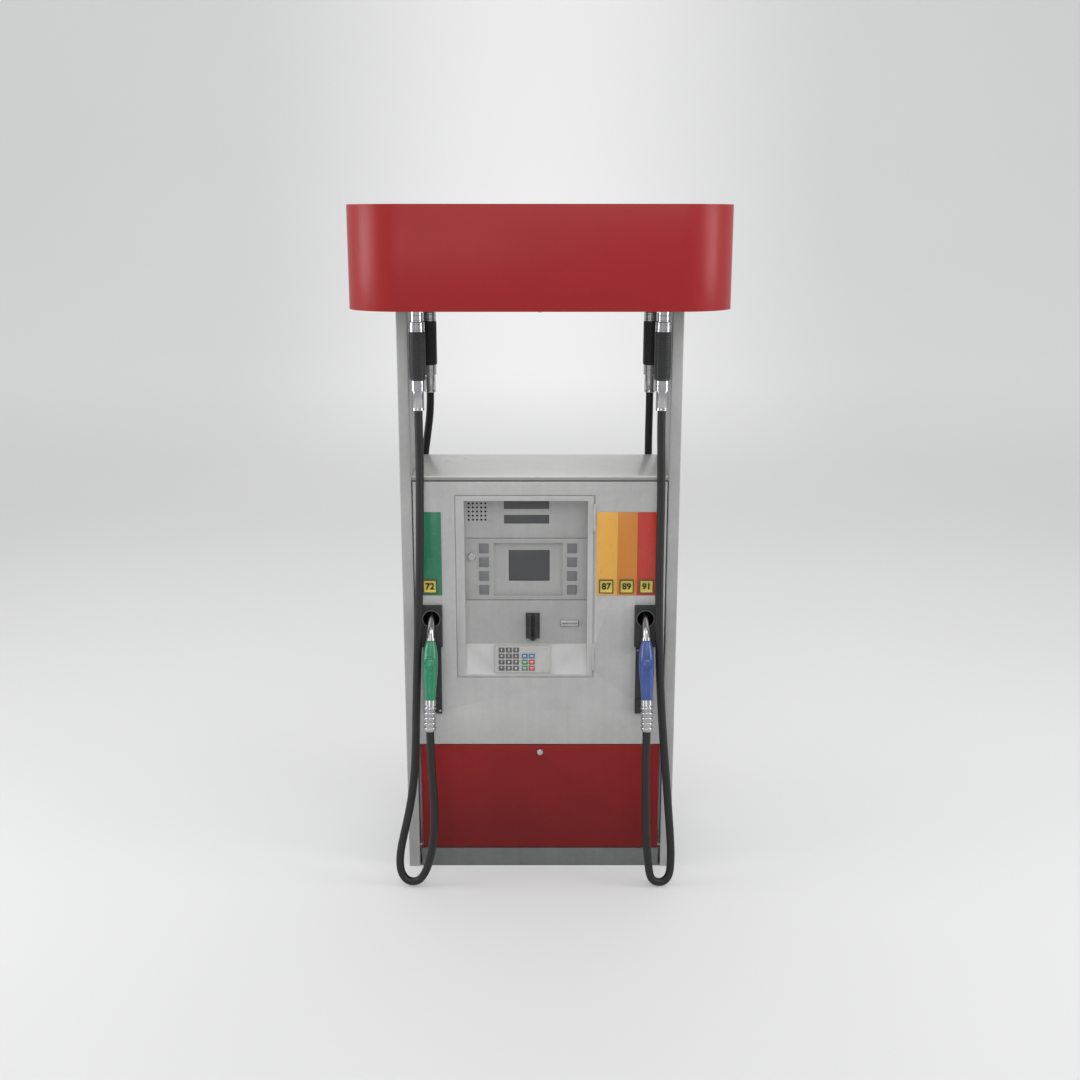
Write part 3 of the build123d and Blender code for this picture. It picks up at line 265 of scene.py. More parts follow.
# %% A hose along its spline
def deselect():
    if bpy.context.object and bpy.context.object.mode != "OBJECT":
        bpy.ops.object.mode_set(mode="OBJECT")
    bpy.ops.object.select_all(action="DESELECT")


def only(piece):
    """Makes one object the selected and active one."""
    deselect()
    piece.select_set(True)
    bpy.context.view_layer.objects.active = piece


def smooth(piece, angle=40):
    only(piece)
    bpy.ops.object.shade_smooth_by_angle(angle=math.radians(angle))


def route_spline(name, points):
    curve = bpy.data.curves.new(name + "_route", "CURVE")
    curve.dimensions = "3D"
    curve.resolution_u = 10
    spline = curve.splines.new("NURBS")
    spline.points.add(len(points) - 1)
    for point, place in zip(spline.points, points):
        point.co = (*place, 1)
    spline.order_u = 3
    spline.use_endpoint_u = True
    holder = bpy.data.objects.new(name + "_route", curve)
    bpy.context.collection.objects.link(holder)
    bpy.context.view_layer.update()
    return holder


def mesh_of(holder):
    depsgraph = bpy.context.evaluated_depsgraph_get()
    depsgraph.update()
    return bpy.data.meshes.new_from_object(holder.evaluated_get(depsgraph))


def make_hose(place, points):
    holder = route_spline(place, points)
    line = mesh_of(holder)
    holder.data.bevel_depth = HOSE_RADIUS
    holder.data.bevel_resolution = 6
    holder.data.use_fill_caps = True
    bpy.context.view_layer.update()
    hose = bpy.data.objects.new("hose_" + place + "_rubber", mesh_of(holder))
    bpy.context.collection.objects.link(hose)
    bpy.data.objects.remove(holder)
    hose.data.materials.clear()
    hose.data.materials.append(HOSE_FINISH.material)
    smooth(hose, 60)
    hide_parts("hose_" + place)
    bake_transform(hose)
    return hose


for hose_place, hose_points in HOSE_ROUTES.items():
    make_hose(hose_place, hose_points)

# %% [markdown]
# ## A studio around the dispenser
# The stage is one sheet that runs along the floor and sweeps up into a wall, as in a photographer's studio, so
# there is no hard line behind the object. The light is a bright dome with five soft boxes, and the sheet itself
# glows with painted light. The long reflections of the two at the sides are what draws the round corners of the
# canopy.

# %% Stage, dome and soft boxes
def stage_glow():
    """Pale paint that glows with painted light: brightest in the middle of the wall, so that its corners fall
    off.
    """
    finish = Finish("stage_glow", Roughness=0.9, Specular_IOR_Level=0.1, Emission_Strength=1.0)
    wall = finish.ramp(finish.across(2), [(0.0, 0.0), (1.0, 1.0)])
    side = finish.ramp(finish.across(0) * 0.16 + 0.5, [(0.0, 0.0), (0.5, 1.0), (1.0, 0.0)])
    base = finish.between(wall, (0.205, 0.206, 0.206), (0.268, 0.27, 0.27))
    # painted light: the glow rises up the wall and peaks in its middle
    glow = finish.between(wall * side, base, (0.465, 0.465, 0.465))
    cloud = finish.noise(0.35, 2)
    return finish.surface(Base_Color=finish.between(cloud, (0.5, 0.5, 0.5), (0.46, 0.46, 0.46)),
                          Emission_Color=glow)


STAGE_GLOW = stage_glow()
SWEEP = [(5.0, 0.0), (5.8, 0.06), (6.6, 0.25), (7.4, 0.62), (8.0, 1.15), (8.4, 1.9), (8.6, 2.9), (8.6, 12.0)]
FAR_SWEEP = [(-29.0, 0.0), (-31.0, 0.2), (-33.0, 1.0), (-34.4, 2.6), (-35.2, 5.0), (-35.5, 14.0)]
STAGE_WIDTH = 200
deselect()
bpy.ops.mesh.primitive_plane_add(size=1, location=(0, (SWEEP[0][0] + FAR_SWEEP[0][0]) / 2, 0))
stage = bpy.context.object
stage.name = "stage_sweep"
stage.scale = (STAGE_WIDTH, SWEEP[0][0] - FAR_SWEEP[0][0], 1)
bpy.ops.object.transform_apply(location=True, rotation=True, scale=True)


def sweep_up(outline):
    """Draws the sheet's edge at the outline's first y up along the outline's (y, z) points."""
    bpy.ops.object.mode_set(mode="EDIT")
    bpy.ops.mesh.select_mode(type="VERT")
    bpy.ops.mesh.select_all(action="DESELECT")
    bpy.ops.object.mode_set(mode="OBJECT")
    for vertex in stage.data.vertices:
        vertex.select = abs(vertex.co.y - outline[0][0]) < 0.01
    bpy.ops.object.mode_set(mode="EDIT")
    for (y0, z0), (y1, z1) in zip(outline, outline[1:]):
        bpy.ops.mesh.extrude_region_move(TRANSFORM_OT_translate={"value": (0, y1 - y0, z1 - z0)})
    bpy.ops.object.mode_set(mode="OBJECT")


sweep_up(SWEEP)
sweep_up(FAR_SWEEP)
stage.data.materials.append(STAGE_GLOW.material)
smooth(stage, 40)


def soft_box(name, place, aim, size, power):
    data = bpy.data.lights.new(name, "AREA")
    data.shape, data.size, data.size_y = "RECTANGLE", size[0], size[1]
    data.energy = power
    lamp = bpy.data.objects.new(name, data)
    lamp.location = place
    lamp.visible_camera = False
    lamp.rotation_euler = (Vector(aim) - Vector(place)).to_track_quat("-Z", "Y").to_euler()
    bpy.context.collection.objects.link(lamp)
    return lamp


soft_box("soft_box_left", (-4.6, -0.9, 2.5), (-0.5, -0.3, 1.9), (2.2, 3.0), 95)
soft_box("soft_box_right", (4.5, -1.4, 2.7), (0.5, -0.3, 1.7), (1.5, 3.4), 84)
soft_box("soft_box_front", (0.9, -4.2, 5.2), (0, 0, 1.1), (4.4, 2.4), 62)
soft_box("soft_box_fascia", (-1.15, -5.3, 2.7), (-0.3, 0, 2.1), (1.5, 1.7), 20)
soft_box("soft_box_back", (0, 3.4, 5.0), (0, 0.2, 1.4), (4.4, 2.4), 55)


def studio_dome(zenith, horizon, behind):
    """A dome that is bright above and darker low down, and darkest behind the camera, as in a real studio."""
    world = bpy.data.worlds.new("studio_dome")
    bpy.context.scene.world = world
    world.use_nodes = True
    sky = Graph(world.node_tree)
    way = sky.node("ShaderNodeSeparateXYZ", {}, {0: sky.node("ShaderNodeTexCoord").outputs["Generated"]})
    low = sky.node("ShaderNodeMapRange", {}, {"Value": way.outputs["Y"], "From Min": -0.9, "From Max": 0.6,
                                              "To Min": behind, "To Max": horizon})
    shade = sky.node("ShaderNodeMapRange", {}, {"Value": way.outputs["Z"], "From Min": -0.1, "From Max": 0.75,
                                                "To Min": low.outputs["Result"], "To Max": zenith})
    sky.put(world.node_tree.nodes["Background"], {"Color": (0.985, 0.99, 1.0, 1),
                                                  "Strength": shade.outputs["Result"]})


studio_dome(0.9, 0.55, 0.22)
print("stage, dome and soft boxes made")


# %% [markdown]
# ## Working on a piece by hand
# These helpers do what a modeller's hands do: go into edit mode, pick faces by where they are or where they
# look, press a change into them, and put the finished piece down with its place in its mesh.

# %% Hands
EDGE_ANGLE = 35
FLAT_ANGLE = 0.4
HALF_TURN = Matrix.Rotation(math.pi, 4, "Z")
QUARTER_TIP = Matrix.Rotation(math.pi / 2, 4, "X")
NOZZLE_X = {"left": -0.379, "right": 0.368}
SIDES = {"front": Matrix.Identity(4), "rear": HALF_TURN}


def pick(piece, test):
    """Edit mode with just the faces selected whose centre and normal pass the test."""
    only(piece)
    bpy.ops.object.mode_set(mode="EDIT")
    bpy.ops.mesh.select_mode(type="FACE")
    bpy.ops.mesh.select_all(action="DESELECT")
    bpy.ops.object.mode_set(mode="OBJECT")
    for face in piece.data.polygons:
        face.select = test(face.center, face.normal)
    bpy.ops.object.mode_set(mode="EDIT")


def whole(piece):
    """Edit mode with the whole mesh selected."""
    only(piece)
    bpy.ops.object.mode_set(mode="EDIT")
    bpy.ops.mesh.select_mode(type="VERT")
    bpy.ops.mesh.select_all(action="SELECT")


def done():
    bpy.ops.object.mode_set(mode="OBJECT")


def put(piece, matrix=None):
    """Moves the piece, then writes its place into its mesh."""
    only(piece)
    if matrix is not None:
        piece.matrix_world = matrix @ piece.matrix_world
    bpy.ops.object.transform_apply(location=True, rotation=True, scale=True)
    return piece


def twin(piece, name, matrix):
    copy = bpy.data.objects.new(name, piece.data.copy())
    bpy.context.collection.objects.link(copy)
    return put(copy, matrix)


def joined(name, pieces):
    deselect()
    for piece in pieces:
        piece.select_set(True)
    bpy.context.view_layer.objects.active = pieces[0]
    bpy.ops.object.join()
    pieces[0].name = name
    return pieces[0]


def break_edges(piece, width, segments):
    modifier = piece.modifiers.new("broken_edges", "BEVEL")
    modifier.width = width
    modifier.segments = segments
    modifier.limit_method = "ANGLE"
    modifier.angle_limit = math.radians(EDGE_ANGLE)
    modifier.use_clamp_overlap = True
    only(piece)
    bpy.ops.object.modifier_apply(modifier=modifier.name)


def deliver(piece, name, body, finish=None, nodes=()):
    piece.name = name
    if finish:
        piece.data.materials.clear()
        piece.data.materials.append(finish.material)
    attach(piece, body)
    if nodes:
        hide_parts(*nodes)
    return piece


def refined(node, finish, edge=0.0008, segments=2):
    """A copy of a CAD node with merged triangles, whole flats and softly broken edges."""
    source = bpy.data.objects[node]
    piece = bpy.data.objects.new(node + "_look", source.data.copy())
    bpy.context.collection.objects.link(piece)
    whole(piece)
    bpy.ops.mesh.remove_doubles(threshold=0.00001)
    bpy.ops.mesh.dissolve_limited(angle_limit=math.radians(FLAT_ANGLE))
    done()
    if edge:
        break_edges(piece, edge, segments)
    smooth(piece, EDGE_ANGLE)
    return deliver(piece, node + "_look", BODY_OF[node], finish, (node,))


# %% [markdown]
# ## Paint on sheet metal
# Powder coat is never one flat colour. It is a little blotched, it has streaks where rain runs down, and its
# skin has a fine orange peel. Three noises at three scales make these, and the same three set the roughness,
# so that a dull patch is also a pale one.

# %% Powder coat
def powder_coat(name, light, dark, rough=0.42, spread=0.2, peel=0.2, ground_shade=0.0, **fixed):
    """Ground shade is how much of the tone follows the height: painted shade that darkens the paint towards the
    ground.
    """
    finish = Finish(name, **fixed)
    cloud = finish.noise(3.1, 5, 0.62)
    speck = finish.noise(46, 4, 0.72)
    rain = finish.noise(15, 3, 0.6, (3, 3, 0.14))
    tone = (0.5 + (cloud - 0.5) * 1.3 + (speck - 0.5) * 0.5 + (rain - 0.5) * 0.4).clipped()
    if ground_shade:
        # painted shade: the tone grows darker towards the ground
        lit_share = finish.ramp(finish.across(2), [(0.06, 0.0), (0.5, 1.0)])
        tone = tone * (1 - ground_shade) + lit_share * ground_shade
    finish.bump(finish.noise(620, 2) * 0.75 + speck * 0.25, 0.0004, peel)
    return finish.surface(Base_Color=finish.between(tone, dark, light), Roughness=rough + (1 - tone) * spread)


PANEL_GRAY = powder_coat("panel_gray", srgb(184, 184, 183), srgb(154, 154, 153))
COVER_GRAY = powder_coat("top_cover_gray", srgb(222, 222, 220), srgb(204, 204, 202), 0.24, 0.12)
BEZEL_GRAY = powder_coat("bezel_gray", srgb(182, 182, 181), srgb(158, 158, 157))
# painted shade: a darker coat for the faces inside the bezel's recess
RECESS_SHADE = powder_coat("recess_shade", srgb(166, 166, 165), srgb(144, 144, 143))
# painted light: a lighter coat for the slanted shelf, as if lit from above
SHELF_LIT = powder_coat("shelf_lit", srgb(196, 196, 195), srgb(178, 178, 177), 0.36)
# painted shade for the top cover's lip
LIP_SHADE_GRAY = powder_coat("lip_shade_gray", srgb(148, 148, 147), srgb(134, 134, 133))
COLUMN_GRAY = powder_coat("column_gray", srgb(172, 172, 171), srgb(144, 144, 143), 0.4)
# The plinth's coat is its dark grey paint and also painted shade for the low light near the ground.
PLINTH_GRAY_AND_SHADE = powder_coat("plinth_gray", srgb(106, 109, 107), srgb(80, 83, 81), 0.5)
SOFFIT_GRAY = powder_coat("soffit_gray", srgb(150, 150, 148), srgb(118, 118, 116), 0.5)
CANOPY_RED = powder_coat("canopy_red", srgb(150, 21, 25), srgb(141, 16, 20), 0.34, 0.08, 0.35,
                         Specular_IOR_Level=0.35)
# The door's coat carries painted shade that darkens it towards the ground.
DOOR_RED = powder_coat("door_red", srgb(138, 24, 27), srgb(92, 11, 14), 0.42, 0.12, 0.3, 0.6,
                       Specular_IOR_Level=0.25)


# %% [markdown]
# ## Bare metal, black plastics and glass
# Chrome is nearly a mirror, broken only by faint smears. Brushed steel gets noise drawn out along one way.
# Moulded black plastic has a leathery grain that keeps its highlights wide.

# %% Metals and mouldings
def metal(name, light, dark, rough, spread, scale=40, stretch=(1, 1, 1), relief=0.05):
    finish = Finish(name, Metallic=1.0)
    smear = finish.noise(scale, 4, 0.65, stretch)
    blotch = finish.noise(9, 3)
    finish.bump(smear, 0.0002, relief)
    return finish.surface(Base_Color=finish.between(smear * 0.5 + blotch * 0.5, dark, light),
                          Roughness=(rough + (blotch - 0.5) * spread + (smear - 0.5) * spread).clipped())


def moulding(name, light, dark, rough=0.45, grain=500, relief=0.3, **fixed):
    finish = Finish(name, **fixed)
    scuff = finish.noise(22, 4, 0.7)
    finish.bump(finish.noise(grain, 3, 0.6), 0.0003, relief)
    return finish.surface(Base_Color=finish.between(scuff, dark, light), Roughness=rough + (scuff - 0.5) * 0.25)


CHROME = metal("chrome", (0.58, 0.58, 0.59), (0.36, 0.36, 0.37), 0.12, 0.12, 60, (1, 1, 1), 0.01)
SATIN = metal("satin_steel", (0.5, 0.5, 0.5), (0.36, 0.36, 0.36), 0.38, 0.1, 80, (1, 1, 1), 0.02)
NOZZLE_METAL = metal("nozzle_metal", (0.58, 0.58, 0.59), (0.36, 0.36, 0.37), 0.2, 0.16, 90, (1, 1, 1), 0.01)
STEEL = metal("frame_steel", (0.5, 0.5, 0.51), (0.32, 0.32, 0.33), 0.38, 0.2, 90, (1, 1, 0.05), 0.1)
BOX_STEEL = metal("box_steel", (0.62, 0.63, 0.62), (0.45, 0.46, 0.46), 0.34, 0.2, 30)
CASTING = metal("meter_casting", (0.42, 0.42, 0.43), (0.27, 0.27, 0.28), 0.55, 0.2, 300, (1, 1, 1), 0.6)
PIPE_STEEL = metal("pipe_steel", (0.55, 0.54, 0.52), (0.36, 0.35, 0.34), 0.4, 0.2, 60, (1, 1, 0.1), 0.1)
SCREW_STEEL = metal("screw_steel", (0.7, 0.7, 0.71), (0.45, 0.45, 0.46), 0.26, 0.15, 200)
LEVER_METAL = metal("lever_metal", (0.35, 0.35, 0.36), (0.2, 0.2, 0.21), 0.36, 0.2, 80)
SLEEVE_BLACK = moulding("black_rubber", srgb(44, 45, 45), srgb(24, 25, 25), 0.5)
BOOT_BLACK = moulding("boot_black", srgb(40, 40, 41), srgb(22, 23, 24), 0.5, 700, 0.5)
READER_BLACK = moulding("reader_black", srgb(44, 44, 45), srgb(24, 24, 25), 0.3, 900, 0.15)
KEY_BLACK = moulding("key_black", srgb(92, 93, 94), srgb(66, 67, 68), 0.42)
KEY_BLUE = moulding("key_blue", srgb(72, 110, 158), srgb(50, 86, 132), 0.4)
KEY_GREEN = moulding("key_green", srgb(66, 142, 84), srgb(44, 112, 62), 0.4)
KEY_RED = moulding("key_red", srgb(190, 58, 58), srgb(156, 38, 40), 0.4)
KEY_PLATE = powder_coat("keypad_plate", srgb(180, 180, 178), srgb(162, 162, 160), 0.36)
SOFT_KEY = moulding("soft_key_gray", srgb(118, 119, 120), srgb(98, 99, 100), 0.45)
COVER_GREEN = moulding("cover_green", srgb(28, 132, 96), srgb(14, 104, 72), 0.34, 260, 0.12, Coat_Weight=0.25)
COVER_BLUE = moulding("cover_blue", srgb(52, 80, 146), srgb(36, 58, 116), 0.34, 260, 0.12, Coat_Weight=0.25)
BUTTON_YELLOW = moulding("button_yellow", srgb(206, 192, 84), srgb(182, 168, 66), 0.4)
BUTTON_RIM = moulding("button_rim", srgb(96, 76, 48), srgb(66, 52, 34), 0.4)
FIGURE_BLACK = moulding("figure_black", srgb(34, 33, 30), srgb(20, 19, 18), 0.5)
FIGURE_WHITE = moulding("figure_white", srgb(226, 226, 222), srgb(200, 200, 196), 0.5)


def display_glass():
    finish = Finish("display_glass", Coat_Roughness=0.12)
    haze = finish.noise(6, 2)
    finger = finish.noise(12, 2)
    return finish.surface(Base_Color=finish.between(haze, srgb(58, 59, 60), srgb(68, 69, 70)),
                          Roughness=0.3 + finger * 0.1, Coat_Weight=0.15)


GLASS = display_glass()


# %% [markdown]
# ## Printed strips beside the bezel
# Each product has its own colour strip over its button. One material prints them all: it turns x round on the
# rear side, and then each step along x picks the next colour.

# %% Strip print
def strip_print():
    finish = Finish("grade_colours", Coat_Roughness=0.25, Coat_Weight=0.3)
    rear = finish.across(1).above(0)
    along = finish.across(0) * (1 - rear * 2)
    fade = finish.noise(5, 3)
    grime = finish.noise(60, 4, 0.7)
    colour = finish.between(fade, srgb(14, 102, 70), srgb(30, 112, 80))
    for limit, shade in ((-0.1, srgb(214, 158, 62)), (0.2685, srgb(190, 118, 30)), (0.3367, srgb(174, 42, 28))):
        colour = finish.between(along.above(limit), colour, shade)
    colour = finish.between((grime - 0.55).clipped() * 1.2, colour, srgb(120, 112, 96))
    return finish.surface(Base_Color=colour, Roughness=0.32 + grime * 0.2)


STRIP_PRINT = strip_print()

# %% [markdown]
# ## Sheet metal and mouldings from the CAD
# Pressed and moulded pieces already have the right shape. What they lack is a broken edge: no real edge is
# perfectly sharp, and the thin highlight along it is what makes sheet metal look solid.

# %% Copies with broken edges
for node, finish, edge in (
        ("canopy_fascia", CANOPY_RED, 0.0015), ("canopy_soffit", SOFFIT_GRAY, 0.0006),
        ("canopy_lid", SOFFIT_GRAY, 0.0008), ("left_column", COLUMN_GRAY, 0.0008),
        ("right_column", COLUMN_GRAY, 0.0008), ("base_plinth", PLINTH_GRAY_AND_SHADE, 0.001),
        ("cabinet_top_cover", COVER_GRAY, 0.0012), ("nozzle_boots", BOOT_BLACK, 0.001),
        ("grade_strips", STRIP_PRINT, 0.0004)):
    refined(node, finish, edge)
# The top cover's lip is in the shade of the cover itself, so that shade is painted on as a darker coat than the
# top.
lip = bpy.data.objects["cabinet_top_cover_look"]
lip.data.materials.append(LIP_SHADE_GRAY.material)
for face in lip.data.polygons:
    face.material_index = int(abs(face.normal.y) > 0.9)
for side in SIDES:
    refined(side + "_panel", PANEL_GRAY, 0.0009)
    refined(side + "_lower_door", DOOR_RED, 0.0012)
    refined(side + "_bezel_door", BEZEL_GRAY, 0.0008)
    refined(side + "_keypad_plate", KEY_PLATE, 0.0007)
    refined(side + "_soft_keys", SOFT_KEY, 0.0012)
    refined(side + "_card_reader", READER_BLACK, 0.0009)
    refined(side + "_displays", GLASS, 0.0007)
    for hand in ("left", "right"):
        refined(side + "_" + hand + "_nozzle_lever", LEVER_METAL, 0.001)
print("refined copies made")

# %% [markdown]
# ## The CAD nodes that stay
# Pipes, meters, locks and screws are turned or cast pieces whose CAD mesh is already fine enough, so they only
# change their finish.

# %% Finishes on CAD nodes
KEPT = {"inner_frame": STEEL, "electronics_box": BOX_STEEL, "flow_meters": CASTING, "fuel_pipes": PIPE_STEEL,
        "fasteners": SCREW_STEEL}
for side in SIDES:
    KEPT[side + "_bezel_lock"] = CHROME
    KEPT[side + "_lower_lock"] = CHROME
    for hand in ("left", "right"):
        KEPT[side + "_" + hand + "_nozzle_body"] = NOZZLE_METAL
for node, finish in KEPT.items():
    for place in bpy.data.objects[node].material_slots:
        place.material = finish.material

# %% [markdown]
# ## Turned pieces
# A swivel, a collar or a ferrule comes off a lathe. A ring of points is pushed up and widened or narrowed
# at each station of the outline, which is the same as turning the outline once round.

# %% A lathe
def turned(outline, sides=48):
    """A closed turned piece about the z axis, from (radius, height) stations in millimetres, bottom first."""
    radius, height = (value * MM for value in outline[0])
    deselect()
    bpy.ops.mesh.primitive_circle_add(vertices=sides, radius=radius, location=(0, 0, height), fill_type="NGON")
    piece = bpy.context.object
    put(piece)
    whole(piece)
    for wide, high in outline[1:]:
        bpy.ops.mesh.extrude_region_move(TRANSFORM_OT_translate={"value": (0, 0, high * MM - height)})
        grow = wide * MM / radius
        bpy.ops.transform.resize(value=(grow, grow, 1), center_override=(0, 0, high * MM))
        radius, height = wide * MM, high * MM
    bpy.ops.mesh.select_all(action="SELECT")
    bpy.ops.mesh.normals_make_consistent(inside=False)
    done()
    return piece


# %% [markdown]
# ## Where a hose leaves the canopy
# Under the soffit hangs a chromed swivel, then a textured black break-away coupling that parts if a car drives
# off with the nozzle, then a polished adapter and the ferrule that is crimped on the hose.

# %% Swivel, collars and ferrule
SWIVEL = [(19, 1946.4), (25.4, 1946.4), (26.2, 1947.4), (26.2, 1953), (25.2, 1954), (25.2, 1955.4),
          (26.2, 1956.4), (26.2, 1970), (25.2, 1971), (25.2, 1972.4), (26.2, 1973.4), (26.2, 1977.6),
          (25.4, 1978.8), (21.2, 1979), (20.2, 1980), (20.2, 1983), (21.2, 1984.4), (21.2, 1999), (20.4, 2000),
          (20.4, 2001.4), (21.2, 2002.4), (21.2, 2058), (19, 2060)]
ADAPTER = [(16.5, 1685.2), (19.6, 1685.2), (20.3, 1686), (20.3, 1694), (19.8, 1694.8), (19.8, 1696),
           (20.3, 1696.8), (20.3, 1750), (23.6, 1750.4), (24.6, 1751.4), (24.6, 1768), (23.9, 1769),
           (23.9, 1770.6), (24.6, 1771.6), (24.6, 1786.4), (23.8, 1787.6), (17, 1787.6)]
swivel, adapter = turned(SWIVEL), turned(ADAPTER)
fitting = joined("fitting", [swivel, adapter])
smooth(fitting, 32)
FITTING_X, FITTING_Y = 0.408, 0.245
FITTING_PLACES = [(x, y) for x in (-FITTING_X, FITTING_X) for y in (-FITTING_Y, FITTING_Y)]
fittings = [twin(fitting, "fitting_copy", Matrix.Translation((x, y, 0))) for x, y in FITTING_PLACES]
bpy.data.objects.remove(fitting)
deliver(joined("hose_fittings_look", fittings), "hose_fittings_look", "root", CHROME,
        ("hose_fittings",))

# %% [markdown]
# The sleeve of the break-away coupling is covered with small pads for grip. They are real geometry: the wall is
# a grid of faces, each one inset and raised.

# %% Textured sleeve
SLEEVE_ROWS = 17
SLEEVE = ([(22, 1788.3), (26.2, 1788.3), (27, 1789.5), (27, 1792)]
          + [(26.6, 1793 + 148 * row / SLEEVE_ROWS) for row in range(SLEEVE_ROWS + 1)]
          + [(27, 1942), (27, 1944.5), (26.2, 1945.7), (22, 1945.7)])
sleeve = turned(SLEEVE, 30)
pick(sleeve, lambda centre, normal: abs(normal.z) < 0.1 and 1.7935 < centre.z < 1.9405)
bpy.ops.mesh.inset(use_individual=True, thickness=0.0007, depth=0.0009)
done()
smooth(sleeve, 25)
sleeves = [twin(sleeve, "sleeve_copy", Matrix.Translation((x, y, 0))) for x, y in FITTING_PLACES]
bpy.data.objects.remove(sleeve)
deliver(joined("breakaway_couplings_look", sleeves), "breakaway_couplings_look", "root",
        SLEEVE_BLACK, ("breakaway_couplings",))
print("fittings and sleeves made")

# %% [markdown]
# ## Receipt mouth, speaker hole shade and port rings
# The receipt mouth is a satin metal lip in the same node as the black card reader, so its faces just change
# their material. So do the seams, the recess, which is darkened with painted shade, and the shelf of the bezel
# door, which is lightened with painted light from above. Behind the speaker's holes lies a dark sheet of
# painted shade, and a thin ring with a painted highlight on its rim lines each nozzle port.

# %% Small parts of the bezel and boots
# painted shade: a dark sheet behind the speaker's holes
HOLE_SHADE_BLACK = moulding("speaker_hole_shade", srgb(20, 20, 21), srgb(10, 10, 11), 0.8, 1500, 0.8)
# The ring is a real lip, and its grey, lighter than the black boot, is a painted highlight on the port's rim.
RING_HIGHLIGHT_GRAY = moulding("port_ring_highlight", srgb(104, 105, 107), srgb(72, 73, 75), 0.32, 900, 0.1)
SEAM_SHADE = moulding("seam_shade", srgb(84, 84, 83), srgb(62, 62, 61), 0.6)
SEAMS = (1.005, 1.229)
RECESS_WALL = -0.182
RECESS = (-0.2635, 0.1665, 0.7385, 1.3715)
SHELF_TILT = math.radians(21.04)
SHELF_SLOPE = math.sin(SHELF_TILT)
SPEAKER_PLACE = (-0.2185, -0.1782, 1.3235)
PORT_Y, PORT_Z = -0.2418, 0.953
RING = [(29.2, 0), (31.6, 0), (31.6, 1.4), (31, 2.2), (30, 2.4), (29.2, 1.8)]


def on_shelf(out):
    """Whether a normal, turned to the front, is that of the slanted keypad shelf."""
    return abs(out.z - SHELF_SLOPE) < 0.0004 and out.y < -0.93


for side, turn in SIDES.items():
    door = bpy.data.objects[side + "_bezel_door_look"]
    pick(door, lambda at, out: on_shelf(turn @ out) and 0.72 < at.z < 0.9)
    bpy.ops.mesh.inset(thickness=0.0005, depth=0)
    bpy.ops.mesh.inset(thickness=0.0007, depth=-0.0012)
    bpy.ops.mesh.select_all(action="DESELECT")
    done()
    for finish in (SEAM_SHADE, RECESS_SHADE, SHELF_LIT):
        door.data.materials.append(finish.material)
    for face in door.data.polygons:
        at, out = turn @ face.center, turn @ face.normal
        if RECESS_WALL < at.y < RECESS_WALL + 0.0014 and any(abs(at.z - seam) < 0.0012 for seam in SEAMS):
            face.material_index = 1
        # painted light on the slanted keypad shelf
        elif on_shelf(out):
            face.material_index = 3
        # painted shade on the faces inside the recess
        elif RECESS[0] < at.x < RECESS[1] and RECESS[2] < at.z < RECESS[3] and -0.2225 < at.y < -0.165:
            face.material_index = 2
    reader = bpy.data.objects[side + "_card_reader_look"]
    reader.data.materials.append(SATIN.material)
    for face in reader.data.polygons:
        face.material_index = 1 if (turn @ face.center).x > 0.03 else 0
    # a dark sheet of painted shade behind the speaker's holes
    deselect()
    bpy.ops.mesh.primitive_plane_add(size=0.074)
    hole_shade = put(bpy.context.object, Matrix.Translation(SPEAKER_PLACE) @ QUARTER_TIP)
    whole(hole_shade)
    bpy.ops.mesh.bevel(offset=0.006, segments=4, affect="VERTICES")
    bpy.ops.mesh.select_all(action="SELECT")
    bpy.ops.mesh.extrude_region_move(TRANSFORM_OT_translate={"value": (0, 0.0012, 0)})
    bpy.ops.mesh.select_all(action="SELECT")
    bpy.ops.mesh.normals_make_consistent(inside=False)
    done()
    deliver(put(hole_shade, turn), side + "_speaker_hole_shade", side + "_bezel", HOLE_SHADE_BLACK)
    for hand, x in NOZZLE_X.items():
        # each port ring carries a painted highlight on its rim
        ring = turned(RING, 56)
        place = Matrix.Translation((x, PORT_Y, PORT_Z)) @ QUARTER_TIP
        pick(ring, lambda at, out: abs(at.x) + abs(at.y) < 0.001)
        bpy.ops.mesh.delete(type="FACE")
        bpy.ops.mesh.select_mode(type="EDGE")
        bpy.ops.mesh.select_all(action="DESELECT")
        bpy.ops.mesh.select_non_manifold()
        bpy.ops.mesh.bridge_edge_loops()
        bpy.ops.mesh.select_all(action="SELECT")
        bpy.ops.mesh.normals_make_consistent(inside=False)
        done()
        smooth(ring, 30)
        deliver(put(ring, turn @ place), side + "_" + hand + "_port_ring_highlight", "root", RING_HIGHLIGHT_GRAY)

# %% [markdown]
# ## The nozzle's coloured cover
# A nozzle's aluminium body is wrapped in a soft vinyl cover that tells the product. It swells towards the
# round cap of the main poppet, has a raised rib towards the spout and a sunk grip field below. The cover is
# pushed up ring by ring like a lathe piece, but each ring has its own width and depth.

# %% Cover
COVER_STATIONS = ((1.5, 37.4, 35.4), (20, 39.6, 37.4), (40, 42, 39.4), (60, 44.4, 41.4), (78, 47.6, 45),
                  (98, 51.2, 49.2), (112, 51.8, 50.8), (130, 51.8, 51.4), (150, 51.2, 51), (166, 48.4, 48),
                  (184, 43.4, 43.2), (196, 37.4, 38), (204, 32.4, 33.2), (205.6, 29, 30))
NOZZLE_YZ = (-0.360, 0.695)
NOZZLE_TILT = math.radians(-19.3)
COVER_CENTRE_Y = -2
COVER_BACK = 9.7


